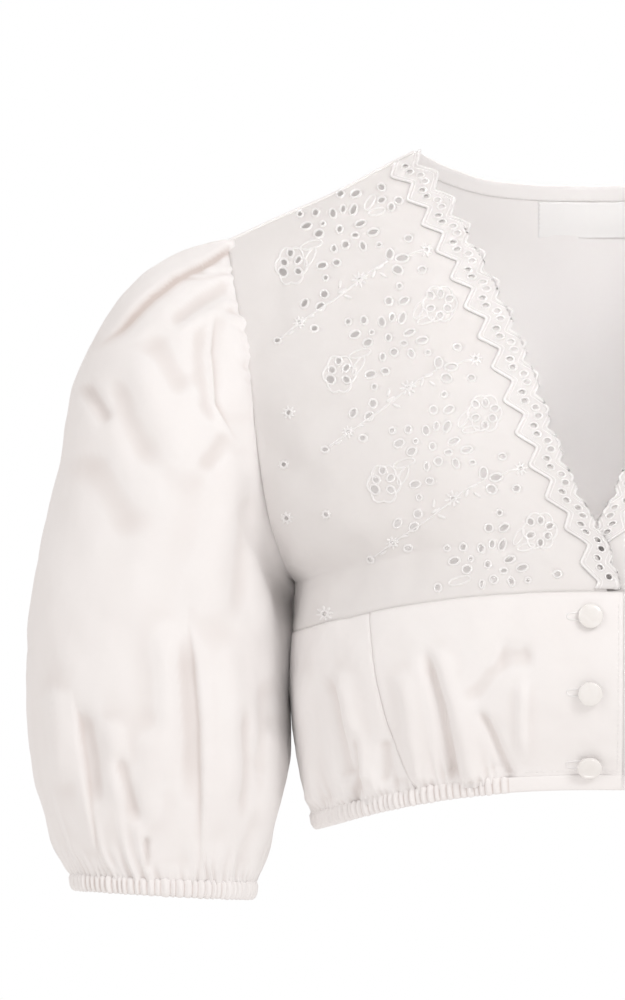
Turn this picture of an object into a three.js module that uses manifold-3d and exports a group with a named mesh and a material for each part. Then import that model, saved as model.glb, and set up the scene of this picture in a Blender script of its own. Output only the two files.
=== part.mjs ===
// A dirndl blouse, worn shape with nobody in it: an eyelet yoke with a V neck and a scalloped edging,
// a plain buttoned band under the bust, an elastic hem and two balloon sleeves with elastic cuffs.
// Millimetres. +Z is up, +X is the wearer's left, and the front faces -Y. The origin lies midway between
// the two points where the shoulder seams meet the neck, where the blouse hangs on the shoulders.
import * as THREE from "three";
import { mergeVertices } from "three/addons/utils/BufferGeometryUtils.js";
import Module from "manifold-3d";

const wasm = await Module();
wasm.setup();

// Driving dimensions
const cloth = 1.2; // thickness of the cotton wall
const trim = 1.0; // thickness of edging, binding and label
const elastic = 2.4; // thickness of a turned hem with the elastic in it
const seamGap = 0.34; // between two pieces at a seam
const overlap = 13.3; // how far each front runs past the centre
const underlapYoke = 3.4; // how far the under front lies behind, where the edging is between
const underlapBand = 1.9; // lower down, where it is not
const underlapHem = 3; // and at the elastic hem
const neckHalf = 91; // half the neck width at the shoulder seams
const scallopPitch = 20; // along the edging
const scallopDepth = 6.6; // from tip to notch
const edgingWidth = 15; // from the mean outer line to the mean inner line
const edgingLap = 8; // how much of the edging lies on the yoke
const buttonDiameter = 12.5;
const bindingHeight = 9.2;
const labelSize = { width: 54, height: 19 };

// The body from the hem up to the yoke seam. Each row is one level section.
const sections = [
  { level: "hem edge", frontZ: -326.5, sideZ: -348, backZ: -321.5, half: 141.5, front: 105, back: 88 },
  { level: "casing top", frontZ: -318, sideZ: -339.5, backZ: -313, half: 143, front: 107, back: 89 },
  { level: "above the elastic", frontZ: -309, sideZ: -330, backZ: -305, half: 147, front: 114, back: 92 },
  { level: "lower fold", frontZ: -295, sideZ: -315, backZ: -292, half: 150.5, front: 123, back: 95 },
  { level: "middle fold", frontZ: -277, sideZ: -296, backZ: -275, half: 153.5, front: 131, back: 98 },
  { level: "bust", frontZ: -252, sideZ: -272, backZ: -254, half: 155.2, front: 136, back: 99.5 },
  { level: "yoke seam", frontZ: -225.5, sideZ: -247, backZ: -233, half: 154, front: 135, back: 100.5 },
];
const underarmSection = { frontZ: -200, sideZ: -222, backZ: -211, half: 152, front: 128, back: 101 };
const squareness = 2.3; // of the sections, where 2 is an ellipse
const riseShape = 2.3; // how early the hem rises from the side towards the centre

// Outer edge of the right neckline, from the yoke seam up to the shoulder: the middle of the scallops.
const neckline = [
  { x: 10.8, y: -134.8, z: -225.5 },
  { x: 5, y: -129.5, z: -203 },
  { x: -6.5, y: -122, z: -182 },
  { x: -16, y: -113.5, z: -161 },
  { x: -23.8, y: -103, z: -139 },
  { x: -31.5, y: -91, z: -115 },
  { x: -41, y: -76.5, z: -91 },
  { x: -52, y: -59, z: -66.5 },
  { x: -64, y: -40, z: -43 },
  { x: -76, y: -21, z: -22 },
  { x: -neckHalf, y: 0, z: 0 },
];

// The shoulder seam, from the neck to the tip.
const shoulder = [
  { x: -neckHalf, y: 0, z: 0 },
  { x: -105, y: 0, z: -7 },
  { x: -133, y: 0.5, z: -21.8 },
  { x: -160, y: 0.5, z: -33.6 },
  { x: -187, y: 0, z: -46 },
];

// The armhole, from the underarm up to the shoulder tip.
const armholeFront = [
  { x: -152, y: 0, z: -222 },
  { x: -158, y: -27, z: -213 },
  { x: -166, y: -46, z: -189 },
  { x: -171, y: -52, z: -160 },
  { x: -175, y: -48, z: -124 },
  { x: -180, y: -35, z: -90 },
  { x: -185, y: -17, z: -63 },
  { x: -187, y: 0, z: -46 },
];
const armholeBack = [
  { x: -152, y: 0, z: -222 },
  { x: -159, y: 27, z: -212 },
  { x: -167, y: 48, z: -188 },
  { x: -172, y: 56, z: -158 },
  { x: -175, y: 53, z: -124 },
  { x: -179, y: 39, z: -90 },
  { x: -184.5, y: 19, z: -63 },
  { x: -187, y: 0, z: -46 },
];

// The back neckline from the shoulder to the centre, and the centre back from there down.
const backNeck = [
  { x: -neckHalf, y: 0, z: 0 },
  { x: -83, y: 14, z: -4.2 },
  { x: -72, y: 27.5, z: -8.8 },
  { x: -54, y: 42.5, z: -14 },
  { x: -30, y: 54, z: -16.4 },
  { x: 0, y: 58, z: -17 },
];
const centreBack = [
  { x: 0, y: 101, z: -211 },
  { x: 0, y: 101, z: -166 },
  { x: 0, y: 95, z: -115 },
  { x: 0, y: 79, z: -60 },
  { x: 0, y: 58, z: -17 },
];

// The seam down the band that takes the dart's fullness: its place as a share of the way to the side seam.
const dartSeam = { top: 0.507, bottom: 0.405 };

// Folds of the right band, above the elastic: place (share of the way to the side), width, depth and reach.
const bandFolds = [
  { at: 0.2, width: 0.03, depth: -2.6, reach: 0.75 },
  { at: 0.255, width: 0.03, depth: 2.6, reach: 0.45 },
  { at: 0.31, width: 0.028, depth: -2.4, reach: 0.6 },
  { at: 0.36, width: 0.026, depth: 2.2, reach: 0.4 },
  { at: 0.45, width: 0.03, depth: -3.2, reach: 0.9 },
  { at: 0.52, width: 0.04, depth: 2.8, reach: 0.55 },
  { at: 0.6, width: 0.03, depth: -2.4, reach: 0.5 },
  { at: 0.67, width: 0.035, depth: 2.4, reach: 0.6 },
  { at: 0.75, width: 0.03, depth: -2.6, reach: 0.65 },
  { at: 0.83, width: 0.035, depth: 2, reach: 0.5 },
];
const elasticStart = 0.165; // where the gathers begin, past the flat button edge
const frontGathers = 22;
const backGathers = 44;
const backFolds = 11;

// The sleeve, ring by ring: outer and inner ends of the ring in the front view, its depth each way, and how
// far it has left the armhole's shape for its own.
const sleeveRings = [
  { outX: -198, outZ: -49.3, inX: -153.6, inZ: -228, front: 58, back: 62, middle: 0, own: 0.25 },
  { outX: -213.3, outZ: -52.5, inX: -155.4, inZ: -236, front: 64, back: 66, middle: 0, own: 0.6 },
  { outX: -228.4, outZ: -62.4, inX: -157, inZ: -246, front: 67, back: 68, middle: -1, own: 0.9 },
  { outX: -242, outZ: -77.2, inX: -158.2, inZ: -257, front: 69, back: 69, middle: -2, own: 1 },
  { outX: -256, outZ: -97.4, inX: -158.6, inZ: -268, front: 70, back: 69, middle: -3, own: 1 },
  { outX: -266.5, outZ: -123, inX: -158.6, inZ: -281, front: 70, back: 69, middle: -4, own: 1 },
  { outX: -275, outZ: -168, inX: -157.5, inZ: -296, front: 69, back: 68, middle: -5, own: 1 },
  { outX: -284, outZ: -210, inX: -156, inZ: -311, front: 68, back: 66, middle: -6, own: 1 },
  { outX: -289.2, outZ: -252, inX: -157.5, inZ: -325, front: 65, back: 63, middle: -7, own: 1 },
  { outX: -288.4, outZ: -292, inX: -160.8, inZ: -340, front: 60, back: 58, middle: -8, own: 1 },
  { outX: -283, outZ: -325, inX: -165.6, inZ: -354, front: 53, back: 51, middle: -9, own: 1 },
  { outX: -275, outZ: -352, inX: -169.8, inZ: -366, front: 45, back: 43, middle: -10, own: 1 },
  { outX: -266.2, outZ: -370.4, inX: -173, inZ: -374.8, front: 39.5, back: 37.5, middle: -10.5, own: 1 },
];
const cuffDrop = { outX: 1, outZ: -8.6, inX: -1, inZ: -9 }; // from the cuff's top ring to its bottom ring
const sleeveSquareness = 2.15;
const cuffGathers = 50;
const armholeStations = { front: 11, back: 7 }; // places where yoke, back and sleeve share a point

// Folds of a sleeve: direction round the ring in degrees (0 is outwards, 90 is the front) at the fold's two
// ends, how far it runs (0 is the armhole, 1 the cuff), its width in degrees and its depth.
const sleeveFolds = [
  { fold: "top pleat", startAt: 22, endAt: 34, from: -0.1, to: 0.42, width: 9, depth: -4.5 },
  { fold: "top roll", startAt: 8, endAt: 14, from: -0.1, to: 0.46, width: 12, depth: 3.5 },
  { fold: "second pleat", startAt: 42, endAt: 62, from: -0.1, to: 0.3, width: 8, depth: -3.2 },
  { fold: "third pleat", startAt: 60, endAt: 84, from: -0.1, to: 0.34, width: 9, depth: -2.8 },
  { fold: "front pleat", startAt: 84, endAt: 108, from: -0.1, to: 0.3, width: 9, depth: -2.4 },
  { fold: "back pleat", startAt: 338, endAt: 328, from: -0.1, to: 0.4, width: 10, depth: -4 },
  { fold: "second back pleat", startAt: 316, endAt: 300, from: -0.1, to: 0.32, width: 9, depth: -3 },
  { fold: "third back pleat", startAt: 296, endAt: 276, from: -0.1, to: 0.3, width: 9, depth: -2.6 },
  { fold: "long front valley", startAt: 112, endAt: 118, from: 0.52, to: 1.1, width: 10, depth: -4 },
  { fold: "front ridge", startAt: 92, endAt: 96, from: 0.62, to: 1.1, width: 9, depth: 3 },
  { fold: "front valley", startAt: 66, endAt: 74, from: 0.66, to: 1.1, width: 8, depth: -4 },
  { fold: "outer ridge", startAt: 48, endAt: 52, from: 0.66, to: 1.1, width: 9, depth: 3 },
  { fold: "outer valley", startAt: 24, endAt: 30, from: 0.6, to: 1.1, width: 9, depth: -4 },
  { fold: "side ridge", startAt: 6, endAt: 6, from: 0.7, to: 1.1, width: 8, depth: 2.4 },
  { fold: "inner valley", startAt: 148, endAt: 146, from: 0.7, to: 1.1, width: 9, depth: -2.6 },
  { fold: "back outer valley", startAt: 342, endAt: 338, from: 0.64, to: 1.1, width: 9, depth: -3.4 },
  { fold: "back ridge", startAt: 316, endAt: 314, from: 0.68, to: 1.1, width: 9, depth: 3 },
  { fold: "back valley", startAt: 290, endAt: 286, from: 0.6, to: 1.1, width: 10, depth: -4 },
  { fold: "back inner ridge", startAt: 262, endAt: 260, from: 0.68, to: 1.1, width: 9, depth: 2.8 },
  { fold: "back inner valley", startAt: 232, endAt: 230, from: 0.66, to: 1.1, width: 9, depth: -3.2 },
];

// The embroidery's sprays in the front view, and the openings of one spray that are over 4 mm long, each
// from the middle of its spray.
const sprays = [
  { x: -129.7, z: -41 },
  { x: -105.1, z: -96.9 },
  { x: -82.6, z: -152.8 },
  { x: -55, z: -212 },
];
const sprayOpenings = [
  { x: 7.3, z: 10.1, long: 5, wide: 2.5, angle: 68 },
  { x: 10.9, z: 2.7, long: 4.8, wide: 2.4, angle: 20 },
  { x: 17.3, z: -1.6, long: 4.9, wide: 2.5, angle: 14 },
  { x: 8.3, z: 18.6, long: 4.6, wide: 2.7, angle: 30 },
  { x: -7.4, z: -9.8, long: 5, wide: 2.7, angle: 68 },
  { x: -16.7, z: 1.6, long: 4.7, wide: 2.7, angle: 20 },
  { x: -8.8, z: -18.8, long: 4.6, wide: 2.6, angle: 14 },
];
const openingSides = 6;

const buttonLevels = [-238, -276.4, -313.2];
const buttonX = -3.2;

// Small helpers
const vec = (x, y, z) => new THREE.Vector3(x, y, z);
const mix = (a, b, t) => a + (b - a) * t;
const clamp01 = (t) => Math.min(1, Math.max(0, t));
const smooth = (t) => clamp01(t) ** 2 * (3 - 2 * clamp01(t));
const bell = (t) => Math.exp(-t * t);
const curveThrough = (rows) =>
  new THREE.CatmullRomCurve3(rows.map((r) => vec(r.x, r.y, r.z)), false, "centripetal");
const span = (count, from = 0, to = 1) => Array.from({ length: count + 1 }, (_, i) => mix(from, to, i / count));

// A closed wall from two grids of points: faces on both sides and a rim on each open edge.
function shell(outer, inner, wraps = false) {
  const rows = outer.length;
  const columns = outer[0].length;
  const positions = [];
  [outer, inner].forEach((grid) => grid.forEach((row) => row.forEach((p) => positions.push(p.x, p.y, p.z))));
  const at = (side, i, j) => side * rows * columns + i * columns + (j % columns);
  const faces = [];
  const quad = (a, b, c, d) => faces.push(a, b, c, a, c, d);
  const lastColumn = wraps ? columns : columns - 1;
  for (let i = 0; i < rows - 1; i++) {
    for (let j = 0; j < lastColumn; j++) {
      quad(at(0, i, j), at(0, i, j + 1), at(0, i + 1, j + 1), at(0, i + 1, j));
      quad(at(1, i, j), at(1, i + 1, j), at(1, i + 1, j + 1), at(1, i, j + 1));
    }
  }
  for (let j = 0; j < lastColumn; j++) {
    quad(at(0, 0, j), at(1, 0, j), at(1, 0, j + 1), at(0, 0, j + 1));
    quad(at(0, rows - 1, j), at(0, rows - 1, j + 1), at(1, rows - 1, j + 1), at(1, rows - 1, j));
  }
  if (!wraps) {
    for (let i = 0; i < rows - 1; i++) {
      quad(at(0, i, 0), at(0, i + 1, 0), at(1, i + 1, 0), at(1, i, 0));
      quad(at(0, i, columns - 1), at(1, i, columns - 1), at(1, i + 1, columns - 1), at(0, i + 1, columns - 1));
    }
  }
  return facingOut(positions, faces);
}

// The geometry with its faces turned out, whichever way round the grid ran.
function facingOut(positions, faces) {
  let volume = 0;
  const p = (i) => vec(positions[3 * i], positions[3 * i + 1], positions[3 * i + 2]);
  for (let i = 0; i < faces.length; i += 3) {
    volume += p(faces[i]).dot(p(faces[i + 1]).cross(p(faces[i + 2])));
  }
  if (volume < 0) {
    for (let i = 0; i < faces.length; i += 3) [faces[i + 1], faces[i + 2]] = [faces[i + 2], faces[i + 1]];
  }
  const geometry = new THREE.BufferGeometry();
  geometry.setAttribute("position", new THREE.Float32BufferAttribute(positions, 3));
  geometry.setIndex(faces);
  geometry.computeVertexNormals();
  return geometry;
}

// Unit normals of a grid of points, turned away from the axis point that each one is given.
function normalsOf(grid, axisPoint, wraps = false) {
  const rows = grid.length;
  const columns = grid[0].length;
  return grid.map((row, i) =>
    row.map((point, j) => {
      const left = wraps ? row[(j + columns - 1) % columns] : row[Math.max(j - 1, 0)];
      const right = wraps ? row[(j + 1) % columns] : row[Math.min(j + 1, columns - 1)];
      const below = grid[Math.max(i - 1, 0)][j];
      const above = grid[Math.min(i + 1, rows - 1)][j];
      const normal = right.clone().sub(left).cross(above.clone().sub(below)).normalize();
      return normal.dot(point.clone().sub(axisPoint(point, i))) < 0 ? normal.negate() : normal;
    }),
  );
}

const moved = (grid, directions, amount) =>
  grid.map((row, i) => row.map((p, j) => p.clone().addScaledVector(directions[i][j], amount)));

// Sections of the body
const bodyAxis = (p) => vec(0, 0, p.z - 20);

// The point of a section: turn 0 is the centre front, 1 the right side seam and 2 the centre back.
function sectionPoint(row, turn) {
  const angle = (turn * Math.PI) / 2;
  const power = 2 / squareness;
  const across = Math.sign(Math.sin(angle)) * Math.abs(Math.sin(angle)) ** power;
  const ahead = Math.sign(Math.cos(angle)) * Math.abs(Math.cos(angle)) ** power;
  const depth = ahead > 0 ? row.front : row.back;
  const z = mix(ahead > 0 ? row.frontZ : row.backZ, row.sideZ, Math.abs(across) ** riseShape);
  return vec(-row.half * across, -depth * ahead, z);
}
const turnAt = (row, x) => -(Math.asin((Math.abs(x) / row.half) ** (squareness / 2)) * 2 * Math.sign(x)) / Math.PI;
const sectionCurve = (row, from, to) =>
  new THREE.CatmullRomCurve3(span(60, from, to).map((t) => sectionPoint(row, t)), false, "centripetal");
const levelNormal = (row, turn) => {
  const tangent = sectionPoint(row, turn + 0.01).sub(sectionPoint(row, turn - 0.01)).setZ(0).normalize();
  const normal = vec(tangent.y, -tangent.x, 0);
  return normal.dot(sectionPoint(row, turn).setZ(0)) < 0 ? normal.negate() : normal;
};

// A patch of cloth between four seams, worked out from them alone.
function patch(bottom, top, inner, outer) {
  const corners = [inner(0), outer(0), inner(1), outer(1)];
  return (u, v) =>
    inner(v)
      .multiplyScalar(1 - u)
      .addScaledVector(outer(v), u)
      .addScaledVector(bottom(u), 1 - v)
      .addScaledVector(top(u), v)
      .addScaledVector(corners[0], -(1 - u) * (1 - v))
      .addScaledVector(corners[1], -u * (1 - v))
      .addScaledVector(corners[2], -(1 - u) * v)
      .addScaledVector(corners[3], -u * v);
}

const yokeRow = sections[sections.length - 1];
const neckCurve = curveThrough(neckline);
const shoulderCurve = curveThrough(shoulder);
const armholeFrontCurve = curveThrough(armholeFront);
const armholeBackCurve = curveThrough(armholeBack);
const neckLength = neckCurve.getLength();
const underarmShare = 0.1; // of the way up the yoke's side, where the side seam ends and the armhole begins

const sideFoot = sectionPoint(yokeRow, 1);
const underarm = vec(armholeFront[0].x, armholeFront[0].y, armholeFront[0].z);
const yokeSide = (v) =>
  v < underarmShare
    ? sideFoot.clone().lerp(underarm, v / underarmShare)
    : armholeFrontCurve.getPointAt((v - underarmShare) / (1 - underarmShare));
const yokeFoot = sectionCurve(yokeRow, turnAt(yokeRow, overlap), 1);
const yokeWithin = patch(
  (u) => yokeFoot.getPointAt(u),
  (u) => shoulderCurve.getPointAt(u),
  (v) => neckCurve.getPointAt(v),
  yokeSide,
);
// The yoke's surface at a share of the way across and up, carried on evenly past the neck edge.
const yokeAt = (u, v) =>
  u < 0 ? yokeWithin(0, v).multiplyScalar(2).sub(yokeWithin(-u, v)) : yokeWithin(Math.min(u, 1), v);

const backTopSplit = 0.53; // share of a half back's top edge that is neck, the rest being shoulder
const backNeckCurve = curveThrough([...backNeck].reverse());
const backTop = (u) =>
  u < backTopSplit
    ? backNeckCurve.getPointAt(u / backTopSplit)
    : shoulderCurve.getPointAt((u - backTopSplit) / (1 - backTopSplit));
const backFoot = sectionCurve(underarmSection, 2, 1);
const centreBackCurve = curveThrough(centreBack);
const backAt = patch(
  (u) => backFoot.getPointAt(u),
  backTop,
  (v) => centreBackCurve.getPointAt(v),
  (v) => armholeBackCurve.getPointAt(v),
);

// Right pieces are drawn; left pieces are their mirror, set back where the right front laps over them.
const mirrored = (grid) => grid.map((row) => row.map((p) => vec(-p.x, p.y, p.z)));
function setBack(grid) {
  return grid.map((row) =>
    row.map((p) => {
      const yokeToBand = mix(underlapYoke, underlapBand, smooth((-226 - p.z) / 20));
      const depth = mix(yokeToBand, underlapHem, smooth((-300 - p.z) / 16));
      return p.clone().add(vec(0, depth * smooth((60 - p.x) / 42), 0));
    }),
  );
}

// Yokes
const yokeRows = [...span(2, 0, underarmShare), ...span(armholeStations.front, underarmShare, 1).slice(1)];
const yokeColumns = span(12);
const edgingStart = (row) => edgingLap / rowLength(row);
function rowLength(v) {
  let length = 0;
  span(16).forEach((u, i, all) => {
    if (i) length += yokeAt(u, v).distanceTo(yokeAt(all[i - 1], v));
  });
  return length;
}
const shoulderDirection = vec(-0.43, 0, 0.9).normalize();

// The yoke's outer points and wall directions. Its neck edge is hidden under the edging.
function yokeGrids() {
  const outer = yokeRows.map((v) => yokeColumns.map((u) => yokeAt(mix(edgingStart(v), 1, u), v)));
  const out = normalsOf(outer, bodyAxis);
  const last = yokeColumns.length - 1;
  outer.forEach((row, i) => {
    if (yokeRows[i] <= underarmShare) {
      out[i][last] = vec(-1, 0, 0);
      row[last].y -= seamGap / 2;
    }
  });
  outer[0].forEach((p, j) => {
    const turn = turnAt(yokeRow, clampX(p.x));
    out[0][j] = levelNormal(yokeRow, turn);
    p.z += seamGap / 2;
  });
  outer[outer.length - 1].forEach((p, j) => {
    out[outer.length - 1][j] = shoulderDirection;
    p.y -= seamGap / 2;
  });
  return { outer, out };
}
const clampX = (x) => Math.max(-yokeRow.half * 0.9999, Math.min(yokeRow.half * 0.9999, x));

// The share across and up of the place that the front view shows at x and z.
function yokePlace(x, z) {
  const step = 0.004;
  let [u, v] = [0.5, 1 + z / 235];
  for (let turn = 0; turn < 14; turn++) {
    const p = yokeAt(u, v);
    const du = yokeAt(u + step, v).sub(p).divideScalar(step);
    const dv = yokeAt(u, v - step).sub(p).divideScalar(-step);
    const scale = du.x * dv.z - du.z * dv.x;
    u = clamp01(u + ((x - p.x) * dv.z - (z - p.z) * dv.x) / scale);
    v = Math.min(0.995, Math.max(0.005, v + ((z - p.z) * du.x - (x - p.x) * du.z) / scale));
  }
  return { u, v };
}

// The openings of all the sprays of one yoke that lie clear of its seams.
const yokeOpenings = sprays
  .flatMap((spray) => sprayOpenings.map((o) => ({ ...o, x: spray.x + o.x, z: spray.z + o.z })))
  .map((o) => ({ ...o, ...yokePlace(o.x, o.z) }))
  .filter((o) => o.v > 0.03 && o.v < 0.965);

// A six-sided cutter through the wall at one opening.
function openingCutter(opening, side) {
  const middle = yokeAt(opening.u, opening.v);
  const turn = THREE.MathUtils.degToRad(opening.angle);
  const ring = (depth) =>
    span(openingSides).slice(0, openingSides).map((t) => {
      const long = (Math.cos(2 * Math.PI * t) * opening.long) / 2;
      const wide = (Math.sin(2 * Math.PI * t) * opening.wide) / 2;
      const x = long * Math.cos(turn) - wide * Math.sin(turn);
      const z = long * Math.sin(turn) + wide * Math.cos(turn);
      return vec(middle.x + x, middle.y + depth, middle.z + z);
    });
  let rings = [ring(-7), ring(7)];
  if (side < 0) rings = setBack(mirrored(rings));
  const positions = rings.flat().flatMap((p) => [p.x, p.y, p.z]);
  const faces = [];
  for (let k = 0; k < openingSides; k++) {
    const next = (k + 1) % openingSides;
    faces.push(k, next, next + openingSides, k, next + openingSides, k + openingSides);
    if (k > 1) faces.push(0, k, k - 1, openingSides, openingSides + k - 1, openingSides + k);
  }
  return facingOut(positions, faces);
}

function toSolid(geometry) {
  const bare = new THREE.BufferGeometry();
  bare.setAttribute("position", geometry.getAttribute("position"));
  bare.setIndex(geometry.index);
  const merged = mergeVertices(bare, 1e-4);
  return new wasm.Manifold(
    new wasm.Mesh({
      numProp: 3,
      vertProperties: merged.attributes.position.array,
      triVerts: new Uint32Array(merged.index.array),
    }),
  );
}

function fromSolid(solid) {
  const mesh = solid.getMesh();
  const geometry = new THREE.BufferGeometry();
  geometry.setAttribute("position", new THREE.Float32BufferAttribute(mesh.vertProperties, 3));
  geometry.setIndex([...mesh.triVerts]);
  geometry.computeVertexNormals();
  return geometry;
}

function yoke(side) {
  const { outer, out } = yokeGrids();
  let outside = outer;
  let inside = moved(outer, out, -cloth);
  if (side < 0) {
    outside = setBack(mirrored(outside));
    inside = setBack(mirrored(inside));
  }
  const wall = toSolid(shell(outside, inside));
  const cutters = yokeOpenings.map((o) => toSolid(openingCutter(o, side)));
  return fromSolid(wall.subtract(wasm.Manifold.union(cutters)));
}

// The scalloped edging, made from the yoke's points moved out. Its two edges run in the same zigzag.
function edging(side) {
  const pairs = Math.floor((2 * (neckLength - 2)) / scallopPitch);
  const stops = [0.004, ...span(pairs, 0, 1).map((t) => ((t * pairs + 0.5) * scallopPitch) / 2 / neckLength)];
  const rows = stops.filter((v) => v < 0.985);
  rows.push(0.995);
  const widths = [0, 0.5, 1];
  const outer = rows.map((v, i) => {
    const zigzag = (i % 2 ? 0.5 : -0.5) * scallopDepth;
    return widths.map((w) => yokeAt((w * edgingWidth + zigzag) / rowLength(v), v));
  });
  const out = normalsOf(outer, bodyAxis);
  let inside = moved(outer, out, seamGap);
  let outside = moved(outer, out, seamGap + trim);
  const top = outer.length - 1;
  [inside, outside].forEach((grid) => {
    grid[top].forEach((p) => (p.y = Math.min(p.y, -1.2)));
    grid[0].forEach((p) => (p.z = Math.max(p.z, yokeRow.frontZ + 0.6)));
  });
  if (side < 0) {
    outside = setBack(mirrored(outside));
    inside = setBack(mirrored(inside));
  }
  return shell(outside, inside);
}

// Bands under the bust
const bandRows = sections.slice(1);
const bandShare = (i) => i / (bandRows.length - 1); // 0 at the casing, 1 at the yoke seam
function bandFold(at, height) {
  return bandFolds.reduce(
    (sum, f) => sum + f.depth * bell((at - f.at) / f.width) * smooth((f.reach - height) / f.reach) * smooth(height / 0.12),
    0,
  );
}
const dartTurn = (height) => mix(dartSeam.bottom, dartSeam.top, height);

// A stretch of the right band between two seams, each given by its turn at a height.
function bandGrids(fromTurn, toTurn, columns, atSide) {
  const outer = [];
  const out = [];
  bandRows.forEach((row, i) => {
    const height = bandShare(i);
    const turns = span(columns, fromTurn(row, height), toTurn(row, height));
    const directions = turns.map((t) => levelNormal(row, t));
    outer.push(turns.map((t, j) => sectionPoint(row, t).addScaledVector(directions[j], bandFold(t, height))));
    out.push(directions);
  });
  const last = outer.length - 1;
  outer[0].forEach((p) => (p.z += seamGap / 2));
  outer[last].forEach((p) => (p.z -= seamGap / 2));
  outer.forEach((row, i) => {
    const end = row[columns];
    if (atSide) {
      end.y -= seamGap / 2;
      out[i][columns] = vec(-1, 0, 0);
    }
  });
  return { outer, out };
}
const centreTurn = (row) => turnAt(row, overlap);
const dartGap = 0.0016; // half the gap at the dart seam, as a share of the way to the side
function band(part, side) {
  const { outer, out } =
    part === "centre"
      ? bandGrids(centreTurn, (row, h) => dartTurn(h) - dartGap, 18, false)
      : bandGrids((row, h) => dartTurn(h) + dartGap, () => 1, 12, true);
  let outside = outer;
  let inside = moved(outer, out, -cloth);
  if (side < 0) {
    outside = setBack(mirrored(outside));
    inside = setBack(mirrored(inside));
  }
  return shell(outside, inside);
}

// Gathered casings: the outer points rise and fall with the gathers, and the inside is plain.
function gatherHeight(k) {
  return 0.85 + 0.4 * Math.sin(k * 1.7) * Math.cos(k * 0.61);
}
function casingWall(top, bottom, gathered, wraps = false) {
  const outerRows = [
    { share: 0, swell: 0.35 },
    { share: 0.5, swell: 1 },
    { share: 1, swell: 0.45 },
  ];
  const loops = top.points.map((p, j) => {
    const down = (share) => p.clone().lerp(bottom.points[j], share);
    const outer = outerRows.map(({ share, swell }) =>
      down(share).addScaledVector(top.out[j], swell * (0.5 + gathered[j] * 1.5)),
    );
    const inner = [1, 0].map((share) => down(share).addScaledVector(top.out[j], 0.6 - elastic));
    return [...outer, ...inner];
  });
  return tube(loops, wraps);
}

// A closed body run through loops of points, with its ends capped unless it wraps round.
function tube(loops, wraps) {
  const size = loops[0].length;
  const positions = loops.flat().flatMap((p) => [p.x, p.y, p.z]);
  const faces = [];
  const at = (j, k) => (j % loops.length) * size + (k % size);
  for (let j = 0; j < loops.length - (wraps ? 0 : 1); j++) {
    for (let k = 0; k < size; k++) {
      faces.push(at(j, k), at(j, k + 1), at(j + 1, k + 1), at(j, k), at(j + 1, k + 1), at(j + 1, k));
    }
  }
  if (!wraps) {
    const end = loops.length - 1;
    for (let k = 2; k < size; k++) faces.push(at(0, 0), at(0, k), at(0, k - 1), at(end, 0), at(end, k - 1), at(end, k));
  }
  return facingOut(positions, faces);
}
const hemEdge = sections[0];
const casingTop = sections[1];

function hemCasing(turns, gathered, side) {
  const path = (row, lift) => {
    const points = turns(row).map((t) => sectionPoint(row, t).add(vec(0, 0, lift)));
    points.forEach((p) => (p.y = Math.abs(p.y) < seamGap / 2 ? (side ? -1 : 1) * (seamGap / 2) : p.y));
    const out = turns(row).map((t) => levelNormal(row, t));
    return side < 0 ? { points: setBack(mirrored([points]))[0], out: mirrored([out])[0] } : { points, out };
  };
  return casingWall(path(casingTop, -seamGap / 2), path(hemEdge, 0), gathered);
}
// Up on one point and down on the next, each gather with its own height.
const gatherAt = (j) => (j % 2) * gatherHeight(Math.floor(j / 2));

function frontCasing(side) {
  const flat = 4;
  const turns = (row) => [
    ...span(flat, centreTurn(row), elasticStart).slice(0, flat),
    ...span(frontGathers * 2, elasticStart, 1),
  ];
  const gathered = turns(casingTop).map((_, j) => (j < flat ? 0 : gatherAt(j - flat)));
  return hemCasing(turns, gathered, side);
}

function backCasing() {
  const turns = span(backGathers * 2, 1, 3);
  return hemCasing(() => turns, turns.map((_, j) => gatherAt(j)), 0);
}

// The back, in one piece from the casing to the shoulders and neck.
const backColumns = [0, 0.13, 0.27, 0.4, backTopSplit, 0.65, 0.77, 0.89, 1];
const backUpperRows = span(armholeStations.back).slice(1);
function backGrids() {
  const lower = [...bandRows, underarmSection];
  const halfRow = (row) => {
    const curve = sectionCurve(row, 2, 1);
    return backColumns.map((u) => curve.getPointAt(u));
  };
  const half = [...lower.map(halfRow), ...backUpperRows.map((v) => backColumns.map((u) => backAt(u, v)))];
  const outer = half.map((row) => [
    ...[...row].reverse(),
    ...row.slice(1).map((p) => vec(-p.x, p.y, p.z)),
  ]);
  const out = normalsOf(outer, bodyAxis);
  const last = outer[0].length - 1;
  const top = outer.length - 1;
  lower.forEach((_, i) => {
    outer[i][0].y += seamGap / 2;
    outer[i][last].y += seamGap / 2;
    out[i][0] = vec(-1, 0, 0);
    out[i][last] = vec(1, 0, 0);
  });
  outer[0].forEach((p, j) => {
    p.z += seamGap / 2;
    out[0][j].setZ(0).normalize();
  });
  outer[top].forEach((p, j) => {
    const onShoulder = j <= 4 || j >= last - 4;
    if (onShoulder) {
      p.y += seamGap / 2;
      out[top][j] = vec(Math.sign(p.x) * 0.43, 0, 0.9).normalize();
    }
  });
  return { outer, out };
}
const backWall = (() => {
  const { outer, out } = backGrids();
  const folded = outer.map((row, i) =>
    row.map((p, j) => {
      const height = clamp01(i / 5);
      const middle = 1 - Math.abs((2 * j) / (row.length - 1) - 1) ** 4;
      const wave = Math.sin(j * 2.35 + 0.6) * 2.6 * smooth(1 - height) * middle;
      return p.clone().addScaledVector(out[i][j], i ? wave : 0);
    }),
  );
  return { outer: folded, inner: moved(folded, out, -cloth) };
})();

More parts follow.
